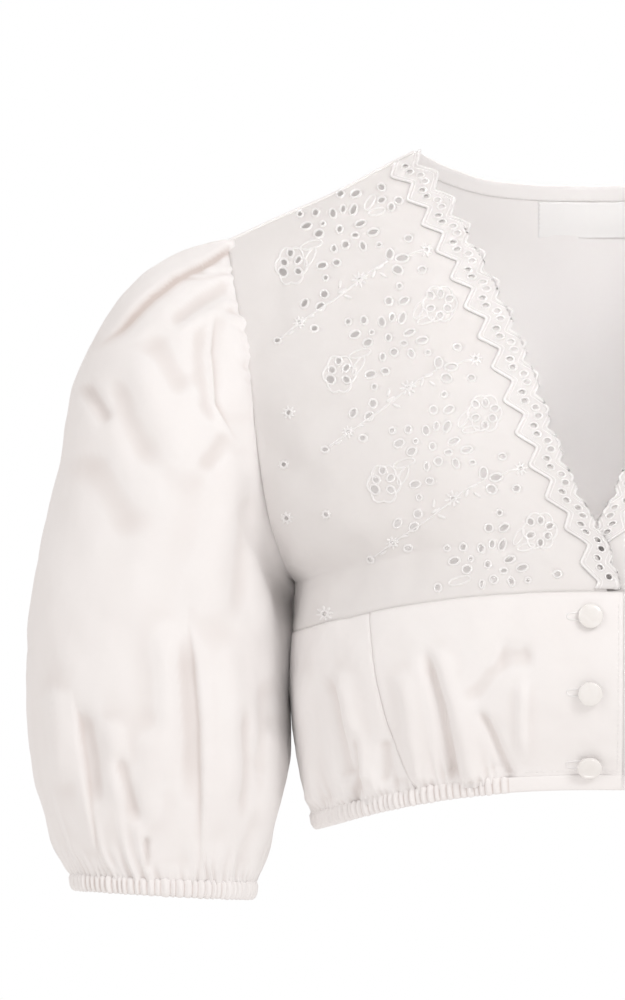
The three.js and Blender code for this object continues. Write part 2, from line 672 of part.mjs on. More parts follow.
// A point of the back's inner face: how far across (-1 to 1) and how far down from its top row (0 to 1).
function backInside(across, down) {
  const { inner } = backWall;
  const size = backColumns.length - 1;
  const share = Math.abs(across);
  const k = Math.min(backColumns.findLastIndex((u) => u <= share), size - 1);
  const place = size + Math.sign(across) * (k + (share - backColumns[k]) / (backColumns[k + 1] - backColumns[k]));
  const rowPlace = inner.length - 1 - down * armholeStations.back;
  const i = Math.min(Math.floor(rowPlace), inner.length - 2);
  const j = Math.min(Math.floor(place), 2 * size - 1);
  const along = (row) => inner[row][j].clone().lerp(inner[row][j + 1], place - j);
  return along(i).lerp(along(i + 1), rowPlace - i);
}

// What lies inside the back: a strip of its own points, moved in.
function insideBack(across, down, lift) {
  const grid = down.map((depth) => across.map((u) => backInside(u, depth)));
  const out = normalsOf(grid, bodyAxis);
  return shell(moved(grid, out, -lift), moved(grid, out, -lift - trim));
}
const centreBackLength = centreBackCurve.getLength();
function neckBinding() {
  const reach = backTopSplit * 0.965;
  return insideBack(span(20, -reach, reach), [0.006, 0.026, bindingHeight / centreBackLength], 0.75);
}
function neckLabel() {
  const topWidth = 2 * (backNeckCurve.getLength() / backTopSplit);
  const half = labelSize.width / topWidth;
  const from = (bindingHeight + 0.8) / centreBackLength;
  return insideBack(span(8, -half, half), span(3, from, from + labelSize.height / centreBackLength), 0.8);
}

// Sleeves
const ringAxis = (ring) => vec((ring.outX + ring.inX) / 2, ring.middle, (ring.outZ + ring.inZ) / 2);
function ringPoint(ring, degrees) {
  const angle = THREE.MathUtils.degToRad(degrees);
  const power = 2 / sleeveSquareness;
  const outwards = Math.sign(Math.cos(angle)) * Math.abs(Math.cos(angle)) ** power;
  const forward = Math.sign(Math.sin(angle)) * Math.abs(Math.sin(angle)) ** power;
  const share = (1 - outwards) / 2;
  const y = ring.middle - forward * (forward > 0 ? ring.front : ring.back);
  return vec(mix(ring.outX, ring.inX, share), y, mix(ring.outZ, ring.inZ, share));
}
function armholePoint(degrees) {
  const ahead = degrees <= 180;
  const curve = ahead ? armholeFrontCurve : armholeBackCurve;
  const stations = ahead ? armholeStations.front : armholeStations.back;
  const place = (ahead ? 1 - degrees / 180 : degrees / 180 - 1) * stations;
  const k = Math.min(Math.floor(place + 1e-6), stations - 1);
  const [from, to] = [k, k + 1].map((station) => curve.getPointAt(station / stations));
  return from.lerp(to, place - k).add(vec(-seamGap * 1.3, 0, 0));
}
const sleeveDegrees = [
  ...span(2 * armholeStations.front, 0, 180),
  ...span(2 * armholeStations.back, 180, 360).slice(1, -1),
];
const around = (a, b) => Math.abs(((((a - b) % 360) + 540) % 360) - 180);
function sleeveFold(degrees, share) {
  return sleeveFolds.reduce((sum, f) => {
    const run = (share - f.from) / (f.to - f.from);
    if (run < 0 || run > 1) return sum;
    const line = mix(f.startAt, f.endAt, run);
    const fade = smooth((share + 0.02) / 0.1) * smooth((1.02 - share) / 0.06);
    return sum + f.depth * bell(around(degrees, line) / f.width) * Math.sin(Math.PI * run) ** 0.8 * fade;
  }, 0);
}
function sleeve(side) {
  const rings = sleeveRings.map((ring, i) =>
    sleeveDegrees.map((d) => {
      const carried = armholePoint(d).multiply(vec(1, 1 + 0.1 * (i + 1), 1));
      carried.add(vec(-9 * (i + 1), 0, -3 * (i + 1) ** 1.5));
      return carried.lerp(ringPoint(ring, d), ring.own);
    }),
  );
  const plain = [sleeveDegrees.map(armholePoint), ...rings];
  const axes = [vec(-170, 2, -135), ...sleeveRings.map(ringAxis)];
  const out = normalsOf(plain, (_, i) => axes[i], true);
  const folded = plain.map((row, i) =>
    row.map((p, j) => p.clone().addScaledVector(out[i][j], sleeveFold(sleeveDegrees[j], i / sleeveRings.length))),
  );
  let outside = folded;
  let inside = moved(folded, out, -cloth);
  if (side < 0) {
    outside = mirrored(outside);
    inside = mirrored(inside);
  }
  return shell(outside, inside, true);
}

function cuff(side) {
  const topRing = sleeveRings[sleeveRings.length - 1];
  const bottomRing = { ...topRing };
  Object.entries(cuffDrop).forEach(([key, amount]) => (bottomRing[key] += amount));
  const count = cuffGathers * 2;
  const degrees = span(count, 0, 360).slice(0, count);
  const path = (ring, lift) => {
    const centre = ringAxis(ring);
    const points = degrees.map((d) => ringPoint(ring, d).add(vec(0, 0, lift)));
    const out = points.map((p) => p.clone().sub(centre).setZ(0).normalize());
    return side < 0 ? { points: mirrored([points])[0], out: mirrored([out])[0] } : { points, out };
  };
  return casingWall(path(topRing, -seamGap), path(bottomRing, 0), degrees.map((_, j) => gatherAt(j + 14)), true);
}

// A domed button on its short shank, lying against the right band.
function button(level) {
  const radius = buttonDiameter / 2;
  const profile = [
    [0, 0],
    [2.2, 0],
    [2.2, 0.9],
    [radius - 0.7, 1.1],
    [radius, 1.9],
    [radius - 1, 3.2],
    [radius - 3.4, 3.9],
    [0, 4.1],
  ].map(([r, y]) => new THREE.Vector2(r, y));
  const geometry = new THREE.LatheGeometry(profile, 14);
  const above = sections.findIndex((row) => row.frontZ >= level);
  const [low, high] = [sections[above - 1], sections[above]];
  const share = (level - low.frontZ) / (high.frontZ - low.frontZ);
  const lean = Math.atan2(high.front - low.front, high.frontZ - low.frontZ);
  geometry.rotateX(Math.PI + lean);
  geometry.translate(buttonX, -mix(low.front, high.front, share) - seamGap - 0.3, level);
  return geometry;
}

const cotton = new THREE.MeshStandardMaterial({ color: 0xf1ebe7, roughness: 0.85, metalness: 0 });
const batiste = new THREE.MeshStandardMaterial({ color: 0xefe9e5, roughness: 0.85, metalness: 0 });
const lace = new THREE.MeshStandardMaterial({ color: 0xf6f3f3, roughness: 0.8, metalness: 0 });
const satin = new THREE.MeshStandardMaterial({ color: 0xfcfcfc, roughness: 0.5, metalness: 0 });
const pearl = new THREE.MeshStandardMaterial({ color: 0xf0ece8, roughness: 0.25, metalness: 0 });

const blouse = new THREE.Group();
function add(name, geometry, material) {
  const mesh = new THREE.Mesh(geometry, material);
  mesh.name = name;
  blouse.add(mesh);
}

[
  ["right", 1],
  ["left", -1],
].forEach(([name, side]) => {
  add(`${name}_yoke`, yoke(side), batiste);
  add(`${name}_neck_edging`, edging(side), lace);
  add(`${name}_band_centre`, band("centre", side), cotton);
  add(`${name}_band_side`, band("side", side), cotton);
  add(`${name}_hem_casing`, frontCasing(side), cotton);
  add(`${name}_sleeve`, sleeve(side), cotton);
  add(`${name}_cuff_casing`, cuff(side), cotton);
});
add("back", shell(backWall.outer, backWall.inner), cotton);
add("back_hem_casing", backCasing(), cotton);
add("back_neck_binding", neckBinding(), cotton);
add("neck_label", neckLabel(), satin);
buttonLevels.forEach((level, i) => add(`button_${i + 1}`, button(level), pearl));

export default blouse;
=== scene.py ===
# A white dirndl blouse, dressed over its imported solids: eyelet yoke, scalloped edging, buttoned band
# under the bust, elastic hem and two balloon sleeves. Tables are in millimetres; meshes are in metres.
import math
import random

import bmesh
import bpy
import numpy as np
from mathutils import Matrix, Vector, geometry, noise


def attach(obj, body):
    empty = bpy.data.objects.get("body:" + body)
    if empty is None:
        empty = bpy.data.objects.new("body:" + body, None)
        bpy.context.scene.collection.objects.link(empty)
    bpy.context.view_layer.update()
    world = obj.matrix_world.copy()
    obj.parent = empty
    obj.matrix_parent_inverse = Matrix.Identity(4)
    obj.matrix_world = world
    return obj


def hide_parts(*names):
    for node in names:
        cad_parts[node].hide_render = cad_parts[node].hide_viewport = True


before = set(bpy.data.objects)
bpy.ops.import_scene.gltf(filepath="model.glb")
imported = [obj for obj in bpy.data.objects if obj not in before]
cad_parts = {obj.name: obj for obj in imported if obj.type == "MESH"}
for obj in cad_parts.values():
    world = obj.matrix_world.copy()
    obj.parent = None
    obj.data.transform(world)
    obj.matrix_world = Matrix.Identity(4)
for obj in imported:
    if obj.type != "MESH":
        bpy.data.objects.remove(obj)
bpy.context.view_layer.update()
bpy.ops.object.select_all(action="DESELECT")
print("blouse: frame loaded")


# Small helpers

def softStep(t):
    t = np.clip(t, 0, 1)
    return t * t * (3 - 2 * t)


def bell(t):
    return np.exp(-np.square(t))


def running(line):
    # The length run along a line at each of its points.
    return np.concatenate([[0], np.cumsum(np.linalg.norm(np.diff(line, axis=0), axis=1))])


def unit(vectors):
    return vectors / (np.linalg.norm(vectors, axis=-1, keepdims=True) + 1e-9)


def turnedFrom(middle, points, normals):
    # The normals, turned round together if they face the middle.
    return normals if np.sum(normals * (points - np.array(middle))) > 0 else -normals


class seamLine:
    # A smooth line through a table of points, read by the share of its length.
    def __init__(self, rows, perSpan=40):
        p = np.array(rows, float)
        p = np.vstack([2 * p[0] - p[1], p, 2 * p[-1] - p[-2]])
        t = np.linspace(0, 1, perSpan, endpoint=False)[:, None]
        parts = []
        for i in range(1, len(p) - 2):
            p0, p1, p2, p3 = p[i - 1:i + 3]
            d0, d1, d2 = (max(np.sum((b - a) ** 2) ** 0.25, 1e-4) for a, b in ((p0, p1), (p1, p2), (p2, p3)))
            t1 = ((p1 - p0) / d0 - (p2 - p0) / (d0 + d1) + (p2 - p1) / d1) * d1
            t2 = ((p2 - p1) / d1 - (p3 - p1) / (d1 + d2) + (p3 - p2) / d2) * d1
            parts.append(p1 + t1 * t + (3 * (p2 - p1) - 2 * t1 - t2) * t ** 2 + (2 * (p1 - p2) + t1 + t2) * t ** 3)
        self.points = np.vstack(parts + [p[-2][None]])
        steps = running(self.points)
        self.length = steps[-1]
        self.share = steps / self.length

    def at(self, t):
        return np.stack([np.interp(t, self.share, self.points[:, k]) for k in range(3)], -1)


def between(rows, place):
    # Rows of numbers read at a fractional row, with smooth changes.
    rows = np.array(rows, float)
    i = np.clip(np.floor(place).astype(int), 0, len(rows) - 2)
    f = (place - i)[..., None]
    p0, p1, p2, p3 = (rows[np.clip(i + k, 0, len(rows) - 1)] for k in (-1, 0, 1, 2))
    a, b = (p2 - p0) / 2, (p3 - p1) / 2
    return p1 + a * f + (3 * (p2 - p1) - 2 * a - b) * f ** 2 + (2 * (p1 - p2) + a + b) * f ** 3


def gridNormals(points, wrap=False, out=(0, 0, 0)):
    # Unit normals of a grid (rows, columns, 3), all turned away from a point or a row of points.
    if wrap:
        du = np.roll(points, -1, 1) - np.roll(points, 1, 1)
    else:
        du = np.gradient(points, axis=1)
    dv = np.gradient(points, axis=0)
    return turnedFrom(out, points, unit(np.cross(du, dv)))


def mirrored(points):
    return points * np.array([-1, 1, 1])


def levelled(values, power):
    # A sine or cosine squared off, so that a ring turns from round towards a rounded box.
    return np.sign(values) * np.abs(values) ** power


sideName = {1: "right", -1: "left"}
nudge = 0.004  # a small share of a panel, for reading its slope


# Cloth meshes

clothDepth = 0.5
seamDepth = 1.7  # how far a seamed edge is turned in
# the strongest painted shade that a hollow gets
deepestPaintedShade = 0.52


def paintedHollowShade(height, rounds=24, wrap=False):
    # A painted shade for each place of a relief, by how many mm it lies under its surroundings, to darken creases and
    # hollows.
    soft = height
    for _ in range(rounds):
        wide = np.pad(soft, ((1, 1), (0, 0)), mode="edge")
        wide = np.pad(wide, ((0, 0), (1, 1)), mode="wrap" if wrap else "edge")
        soft = (wide[1:-1, :-2] + wide[1:-1, 2:] + wide[:-2, 1:-1] + wide[2:, 1:-1] + soft) / 5
    return deepestPaintedShade * (1 - np.exp(-np.clip(soft - height, 0, None)))


def newPiece(name, points, faces, uv=None, shade=None, turn=False, weld=False):
    # A smooth mesh object from places in mm, with its cloth map in metres.
    mesh = bpy.data.meshes.new(name)
    mesh.from_pydata((points / 1000).tolist(), [], faces)
    layer = mesh.uv_layers.new(name="cloth")
    if uv is not None:
        index = np.empty(len(mesh.loops), np.int32)
        mesh.loops.foreach_get("vertex_index", index)
        layer.data.foreach_set("uv", uv[index].ravel())
    # painted shade per point, which the cloth material multiplies into its colour
    if shade is not None:
        mesh.attributes.new("shade", "FLOAT", "POINT").data.foreach_set("value", shade)
    if turn:
        tidy = bmesh.new()
        tidy.from_mesh(mesh)
        if weld:
            bmesh.ops.remove_doubles(tidy, verts=tidy.verts, dist=1e-7)
        bmesh.ops.recalc_face_normals(tidy, faces=tidy.faces)
        tidy.to_mesh(mesh)
        tidy.free()
    mesh.polygons.foreach_set("use_smooth", [True] * len(mesh.polygons))
    mesh.update()
    piece = bpy.data.objects.new(name, mesh)
    bpy.context.collection.objects.link(piece)
    return piece


def clothMesh(name, points, faces, normals, thick, uv, shade=None):
    # A closed thin wall: the outer face, a copy set in by the thickness, and a rim along open edges.
    count = len(points)
    inner = points - normals * np.broadcast_to(thick, count)[:, None]
    faces = [tuple(f) for f in faces]
    edges = set()
    for f in faces:
        edges.update(zip(f, f[1:] + f[:1]))
    rim = sorted((a, b) for a, b in edges if (b, a) not in edges)
    faces += [tuple(i + count for i in reversed(f)) for f in faces]
    faces += [(b, a, a + count, b + count) for a, b in rim]
    if shade is not None:
        shade = np.concatenate([shade, shade * 0])
    return newPiece(name, np.vstack([points, inner]), faces, np.vstack([uv, uv]), shade)


def gridFaces(rows, columns, wrap=False, flip=False):
    i = np.arange(rows - 1)[:, None]
    j = np.arange(columns if wrap else columns - 1)[None, :]
    k = (j + 1) % columns
    quads = np.stack([i * columns + j, i * columns + k, (i + 1) * columns + k, (i + 1) * columns + j], -1)
    quads = quads.reshape(-1, 4)
    return (quads[:, ::-1] if flip else quads).tolist()


def clothSheet(name, points, normals, thick=clothDepth, seams="", wrap=False, shade=None):
    # A panel from a grid. Seamed edges (b, t, l, r: first row, last row, first and last column) are turned in.
    rows, columns = points.shape[:2]
    u, v = (np.concatenate([[0], np.cumsum(np.linalg.norm(np.diff(points, axis=axis), axis=2).mean(1 - axis))])
            for axis in (1, 0))
    uv = np.stack(np.meshgrid(u, v), -1).reshape(-1, 2) / 1000
    depth = np.full((rows, columns), float(thick))
    every = slice(None)
    for edge, place in (("b", (0, every)), ("t", (-1, every)), ("l", (every, 0)), ("r", (every, -1))):
        if edge in seams:
            depth[place] = seamDepth
    corner, right, up = points[:-1, :-1], points[:-1, 1:], points[1:, :-1]
    outwards = np.sum(np.cross(right - corner, up - corner) * normals[:-1, :-1]) > 0
    faces = gridFaces(rows, columns, wrap, flip=not outwards)
    shade = None if shade is None else shade.ravel()
    piece = clothMesh(name, points.reshape(-1, 3), faces, normals.reshape(-1, 3), depth.ravel(), uv, shade)
    if wrap:
        # the last column's faces carry on in the map instead of running back to its start
        layer = piece.data.uv_layers[0].data
        places = np.empty(2 * len(layer))
        layer.foreach_get("uv", places)
        places = places.reshape(-1, 4, 2)
        torn = np.ptp(places[..., 0], axis=1) > u[-1] / 2000
        places[..., 0] += np.where(torn[:, None] & (places[..., 0] < 1e-6), (u[-1] + u[1]) / 1000, 0)
        layer.foreach_set("uv", places.ravel())
    return piece


def pathDistance(points, path):
    # Distance in the front view from each point to a line of (x, z) places, and the share along it.
    p = points[..., [0, 2]]
    path = np.array(path, float)
    lengths = np.linalg.norm(np.diff(path, axis=0), axis=1)
    total = lengths.sum()
    best = np.full(p.shape[:-1], 1e9)
    share = np.zeros(p.shape[:-1])
    side = np.zeros(p.shape[:-1])
    done = 0
    for a, b, length in zip(path[:-1], path[1:], lengths):
        d = (b - a) / length
        t = np.clip((p - a) @ d, 0, length)
        off = p - a - t[..., None] * d
        dist = np.linalg.norm(off, axis=-1)
        near = dist < best
        best = np.where(near, dist, best)
        share = np.where(near, (done + t) / total, share)
        side = np.where(near, d[0] * off[..., 1] - d[1] * off[..., 0], side)
        done += length
    return best, share, np.sign(side)


def leanOf(marks):
    return marks.count("+") - marks.count("-")


def creaseFade(share, marks):
    start = 1 if "s" in marks else softStep(share / 0.25)
    return start * (1 if "e" in marks else softStep((1 - share) / 0.3))


def creaseField(points, facing, creases):
    # Heights in mm from creases drawn in the front view: each a width, a depth, marks and a line.
    # Marks: s and e for full depth at the start and the end, + or - for a fold that stands over to that side.
    height = np.zeros(points.shape[:-1])
    for width, depth, marks, line in creases:
        dist, share, side = pathDistance(points, line)
        if leanOf(marks):
            across = dist * side * leanOf(marks)
            step = 1 / (1 + np.exp(-np.clip(across / 0.55, -30, 30)))
            under = 0.75 * np.exp(-np.abs(across) / (0.2 * width))
            shape = step * np.exp(-np.abs(across) / width) - (1 - step) * under
        else:
            shape = bell(dist / width)
        height += depth * shape * creaseFade(share, marks) * facing
    return height


def paintedFoldShadows(points, facing, creases):
    # A painted shadow: the fine dark line where a fold lies over the cloth beside it, darker where it is marked i.
    line = np.zeros(points.shape[:-1])
    for width, depth, marks, path in creases:
        if leanOf(marks):
            dist, share, side = pathDistance(points, path)
            off = dist * side * leanOf(marks) + 0.5
            line += (0.9 if "i" in marks else 0.25) * bell(off / 0.9) * creaseFade(share, marks) * facing
    return line


def drawnIn(points, normals, creases):
    # The grid's points drawn along the cloth towards sharp folds, so that their edges come out clean.
    moved = points.copy()
    for width, depth, marks, path in creases:
        if not leanOf(marks):
            continue
        dist, share, side = pathDistance(points, path)
        line = np.array(path, float)
        lengths = running(line)
        foot = np.stack([np.interp(share, lengths / lengths[-1], line[:, k]) for k in (0, 1)], -1)
        pull = (foot - points[..., [0, 2]]) * (0.68 * bell(dist / 7) * (normals[..., 1] < -0.1))[..., None]
        shift = np.stack([pull[..., 0], 0 * dist, pull[..., 1]], -1)
        moved += shift - normals * np.sum(shift * normals, -1)[..., None]
    return moved


def gathers(place, reach, rows):
    # Small pleats that rise from a gathered edge: each row is a place, width, height and reach.
    height = np.zeros(np.broadcast(place, reach).shape)
    for at, width, depth, length in rows:
        grown = width * (1 + 1.3 * np.clip(reach / length, 0, 1))
        height += depth * bell((place - at) / grown) * softStep(1 - reach / length)
    return height


def wrinkles(points, scale, amount, seed):
    flat = points.reshape(-1, 3)
    values = [noise.fractal(Vector((p[0] / scale + seed, p[1] / scale, p[2] / scale)), 0.6, 2.0, 2) for p in flat]
    return amount * np.array(values).reshape(points.shape[:-1])


# The shape of the blouse, as in its source: seams as tables of x, y, z

overlap = 13.3
neckHalf = 91
squareness = 2.3

neckline = seamLine([
    (10.8, -134.8, -225.5), (5, -129.5, -203), (-6.5, -122, -182), (-16, -113.5, -161), (-23.8, -103, -139),
    (-31.5, -91, -115), (-41, -76.5, -91), (-52, -59, -66.5), (-64, -40, -43), (-76, -21, -22), (-neckHalf, 0, 0)])
shoulder = seamLine([(-neckHalf, 0, 0), (-105, 0, -7), (-133, 0.5, -21.8), (-160, 0.5, -33.6), (-187, 0, -46)])
armholeFront = seamLine([
    (-152, 0, -222), (-158, -27, -213), (-166, -46, -189), (-171, -52, -160), (-175, -48, -124), (-180, -35, -90),
    (-185, -17, -63), (-187, 0, -46)])
armholeBack = seamLine([
    (-152, 0, -222), (-159, 27, -212), (-167, 48, -188), (-172, 56, -158), (-175, 53, -124), (-179, 39, -90),
    (-184.5, 19, -63), (-187, 0, -46)])
backNeck = seamLine([
    (0, 58, -17), (-30, 54, -16.4), (-54, 42.5, -14), (-72, 27.5, -8.8), (-83, 14, -4.2), (-neckHalf, 0, 0)])
centreBack = seamLine([(0, 101, -211), (0, 101, -166), (0, 95, -115), (0, 79, -60), (0, 58, -17)])

# front z, side z, back z, half width, front and back depth, from the hem edge up to the underarm
bodySections = [
    (-326.5, -348, -321.5, 141.5, 105, 88), (-318, -339.5, -313, 143, 107, 89), (-309, -330, -305, 147, 114, 92),
    (-295, -315, -292, 150.5, 123, 95), (-277, -296, -275, 153.5, 131, 98), (-252, -272, -254, 155.2, 136, 99.5),
    (-225.5, -247, -233, 154, 135, 100.5), (-200, -222, -211, 152, 128, 101)]
yokeLevel = 6


def bodyPoint(turn, level):
    # Turn 0 is the centre front, 1 the right side seam, 2 the centre back.
    frontZ, sideZ, backZ, half, front, back = np.moveaxis(between(bodySections, level), -1, 0)
    a, c = np.sin(turn * math.pi / 2), np.cos(turn * math.pi / 2)
    across, ahead = (levelled(w, 2 / squareness) for w in (a, c))
    z = np.where(ahead > 0, frontZ, backZ)
    z = z + (sideZ - z) * np.abs(across) ** 2.3
    return np.stack([-half * across, -np.where(ahead > 0, front, back) * ahead, z], -1)


def turnAt(half, x):
    return -math.asin((abs(x) / half) ** (squareness / 2)) * 2 / math.pi * math.copysign(1, x)


def patchPoint(u, v, bottom, top, inner, outer):
    u, v = u[..., None], v[..., None]
    b, t, i, o = bottom(u[..., 0]), top(u[..., 0]), inner(v[..., 0]), outer(v[..., 0])
    zero, one = np.zeros(1), np.ones(1)
    corners = inner(zero), outer(zero), inner(one), outer(one)
    return ((1 - u) * i + u * o + (1 - v) * b + v * t - (1 - u) * (1 - v) * corners[0] - u * (1 - v) * corners[1]
            - (1 - u) * v * corners[2] - u * v * corners[3])


underarmShare = 0.1
sideFoot = bodyPoint(np.ones(1), np.full(1, yokeLevel))[0]
underarm = np.array([-152, 0, -222.0])
yokeFoot = seamLine(bodyPoint(np.linspace(turnAt(154, overlap), 1, 80), np.full(80, yokeLevel)), 2)


def yokeSide(v):
    low = sideFoot + (underarm - sideFoot) * np.clip(v / underarmShare, 0, 1)[..., None]
    return np.where((v < underarmShare)[..., None], low, armholeFront.at((v - underarmShare) / (1 - underarmShare)))


def yokePoint(u, v):
    # u runs from the neck edge to the side, v from the band up to the shoulder; past the neck edge it carries on.
    v = np.clip(v, 0, 1)
    p = patchPoint(np.clip(np.abs(u), 0, 1), v, yokeFoot.at, shoulder.at, neckline.at, yokeSide)
    edge = neckline.at(v)
    return np.where((u < 0)[..., None], 2 * edge - p, p)


def setBack(points, inYoke=3.4, inBand=1.9, inHem=3.0):
    # The under front lies behind the upper one where they lap.
    z = points[..., 2]
    depth = inYoke + (inBand - inYoke) * softStep((-226 - z) / 20)
    depth = depth + (inHem - depth) * softStep((-300 - z) / 16)
    moved = points.copy()
    moved[..., 1] += depth * softStep((60 - points[..., 0]) / 42)
    return moved


# Materials

def feed(tree, node, inputs):
    # Each input takes a plain value or the output that drives it.
    for key, value in inputs.items():
        if isinstance(value, bpy.types.NodeSocket):
            tree.links.new(value, node.inputs[key])
        else:
            node.inputs[key].default_value = value
    return node


def addNode(tree, kind, inputs=(), **settings):
    node = tree.nodes.new(kind)
    for key, value in settings.items():
        setattr(node, key, value)
    return feed(tree, node, dict(inputs)).outputs


def addMath(tree, operation, *values):
    return addNode(tree, "ShaderNodeMath", enumerate(values), operation=operation)[0]


# the warm dark colour of the painted shade in hollows and under folds
paintedShadeTint = (0.74, 0.675, 0.645, 1)


def makeWeaveGroup():
    # Plain cotton weave with faint slubs, soft unevenness of tone and painted shade in hollows and under folds, on
    # the piece's own map.
    group = bpy.data.node_groups.new("cottonWeave", "ShaderNodeTree")
    for name, direction, kind, value in (
            ("Light", "INPUT", "Color", (1, 1, 1, 1)), ("Deep", "INPUT", "Color", (0.8, 0.8, 0.8, 1)),
            ("Threads per metre", "INPUT", "Float", 2600.0), ("Unevenness", "INPUT", "Float", 0.5),
            ("Color", "OUTPUT", "Color", None), ("Height", "OUTPUT", "Float", None),
            ("Roughness", "OUTPUT", "Float", None)):
        socket = group.interface.new_socket(name=name, in_out=direction, socket_type="NodeSocket" + kind)
        if value is not None:
            socket.default_value = value
    enter = addNode(group, "NodeGroupInput")
    place = addNode(group, "ShaderNodeTexCoord")["Object"]
    split = addNode(group, "ShaderNodeSeparateXYZ", {0: addNode(group, "ShaderNodeUVMap", uv_map="cloth")["UV"]})
    waves = []
    for axis in ("X", "Y"):
        run = addMath(group, "MULTIPLY", split[axis], enter["Threads per metre"])
        waves.append(addMath(group, "SINE", addMath(group, "MULTIPLY", run, 2 * math.pi)))
    slub = addNode(group, "ShaderNodeTexNoise", {"Scale": 900, "Detail": 3, "Vector": place})["Fac"]
    height = addMath(group, "MULTIPLY_ADD", addMath(group, "MULTIPLY", *waves), 0.35, slub)
    cloud = addNode(group, "ShaderNodeTexNoise", {"Scale": 22, "Detail": 4, "Vector": place})["Fac"]
    ramp = addNode(group, "ShaderNodeMapRange", {
        "From Min": 0.32, "From Max": 0.68, "Value": cloud, "To Max": enter["Unevenness"]})[0]
    tone = addNode(
        group, "ShaderNodeMix", {"Factor": ramp, "A": enter["Light"], "B": enter["Deep"]}, data_type="RGBA")
    # how much painted shade each place gets
    paintedShadeFactor = addNode(group, "ShaderNodeAttribute", attribute_name="shade")["Fac"]
    toneWithPaintedShade = addNode(group, "ShaderNodeMix", {"Factor": paintedShadeFactor, "A": tone["Result"], "B": paintedShadeTint},
                     data_type="RGBA", blend_type="MULTIPLY")
    rough = addNode(group, "ShaderNodeMapRange", {"To Min": 0.78, "To Max": 0.92, "Value": slub})[0]
    addNode(group, "NodeGroupOutput", {"Color": toneWithPaintedShade["Result"], "Height": height, "Roughness": rough})
    return group


weaveGroup = makeWeaveGroup()


def newMaterial(name):
    material = bpy.data.materials.new(name)
    material.use_nodes = True
    return material, material.node_tree, material.node_tree.nodes["Principled BSDF"]


def clothMaterial(name, light, deep, threads=2600.0, bump=0.12, sheen=0.15):
    material, tree, shader = newMaterial(name)
    weave = addNode(
        tree, "ShaderNodeGroup", {"Light": (*light, 1), "Deep": (*deep, 1), "Threads per metre": threads},
        node_tree=weaveGroup)
    relief = addNode(tree, "ShaderNodeBump", {"Strength": bump, "Distance": 0.0003, "Height": weave["Height"]})
    feed(tree, shader, {
        "Base Color": weave["Color"], "Roughness": weave["Roughness"], "Normal": relief["Normal"],
        "Sheen Weight": sheen, "Sheen Roughness": 0.5, "Specular IOR Level": 0.25})
    return material


plainCotton = clothMaterial("plainCotton", (0.885, 0.868, 0.864), (0.855, 0.828, 0.82))
# a lighter copy of the same cotton: painted light for the back and its binding, which lie in shade inside the blouse
backCotton = clothMaterial("backCotton", (0.955, 0.94, 0.938), (0.93, 0.91, 0.903))
# darker copies of the same cotton: painted shade on the sheer yoke over the shaded inside, and on its edging
eyeletCotton = clothMaterial("eyeletCotton", (0.79, 0.772, 0.766), (0.755, 0.73, 0.718), threads=3000.0)
edgingCottonPaintedShade = clothMaterial("edgingCottonPaintedShade", (0.775, 0.76, 0.757), (0.745, 0.725, 0.72), threads=3000.0)
satinThread = clothMaterial(
    "satinThread", (0.90, 0.89, 0.89), (0.87, 0.86, 0.86), threads=4200.0, bump=0.3, sheen=0.3)
labelSatin = clothMaterial("labelSatin", (0.97, 0.97, 0.97), (0.96, 0.96, 0.96), threads=5000.0, bump=0.05)
print("blouse: materials ready")


def finishPiece(piece, material, nodes=()):
    piece.data.materials.append(material)
    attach(piece, "root")
    if nodes:
        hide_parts(*nodes)


# Sleeves

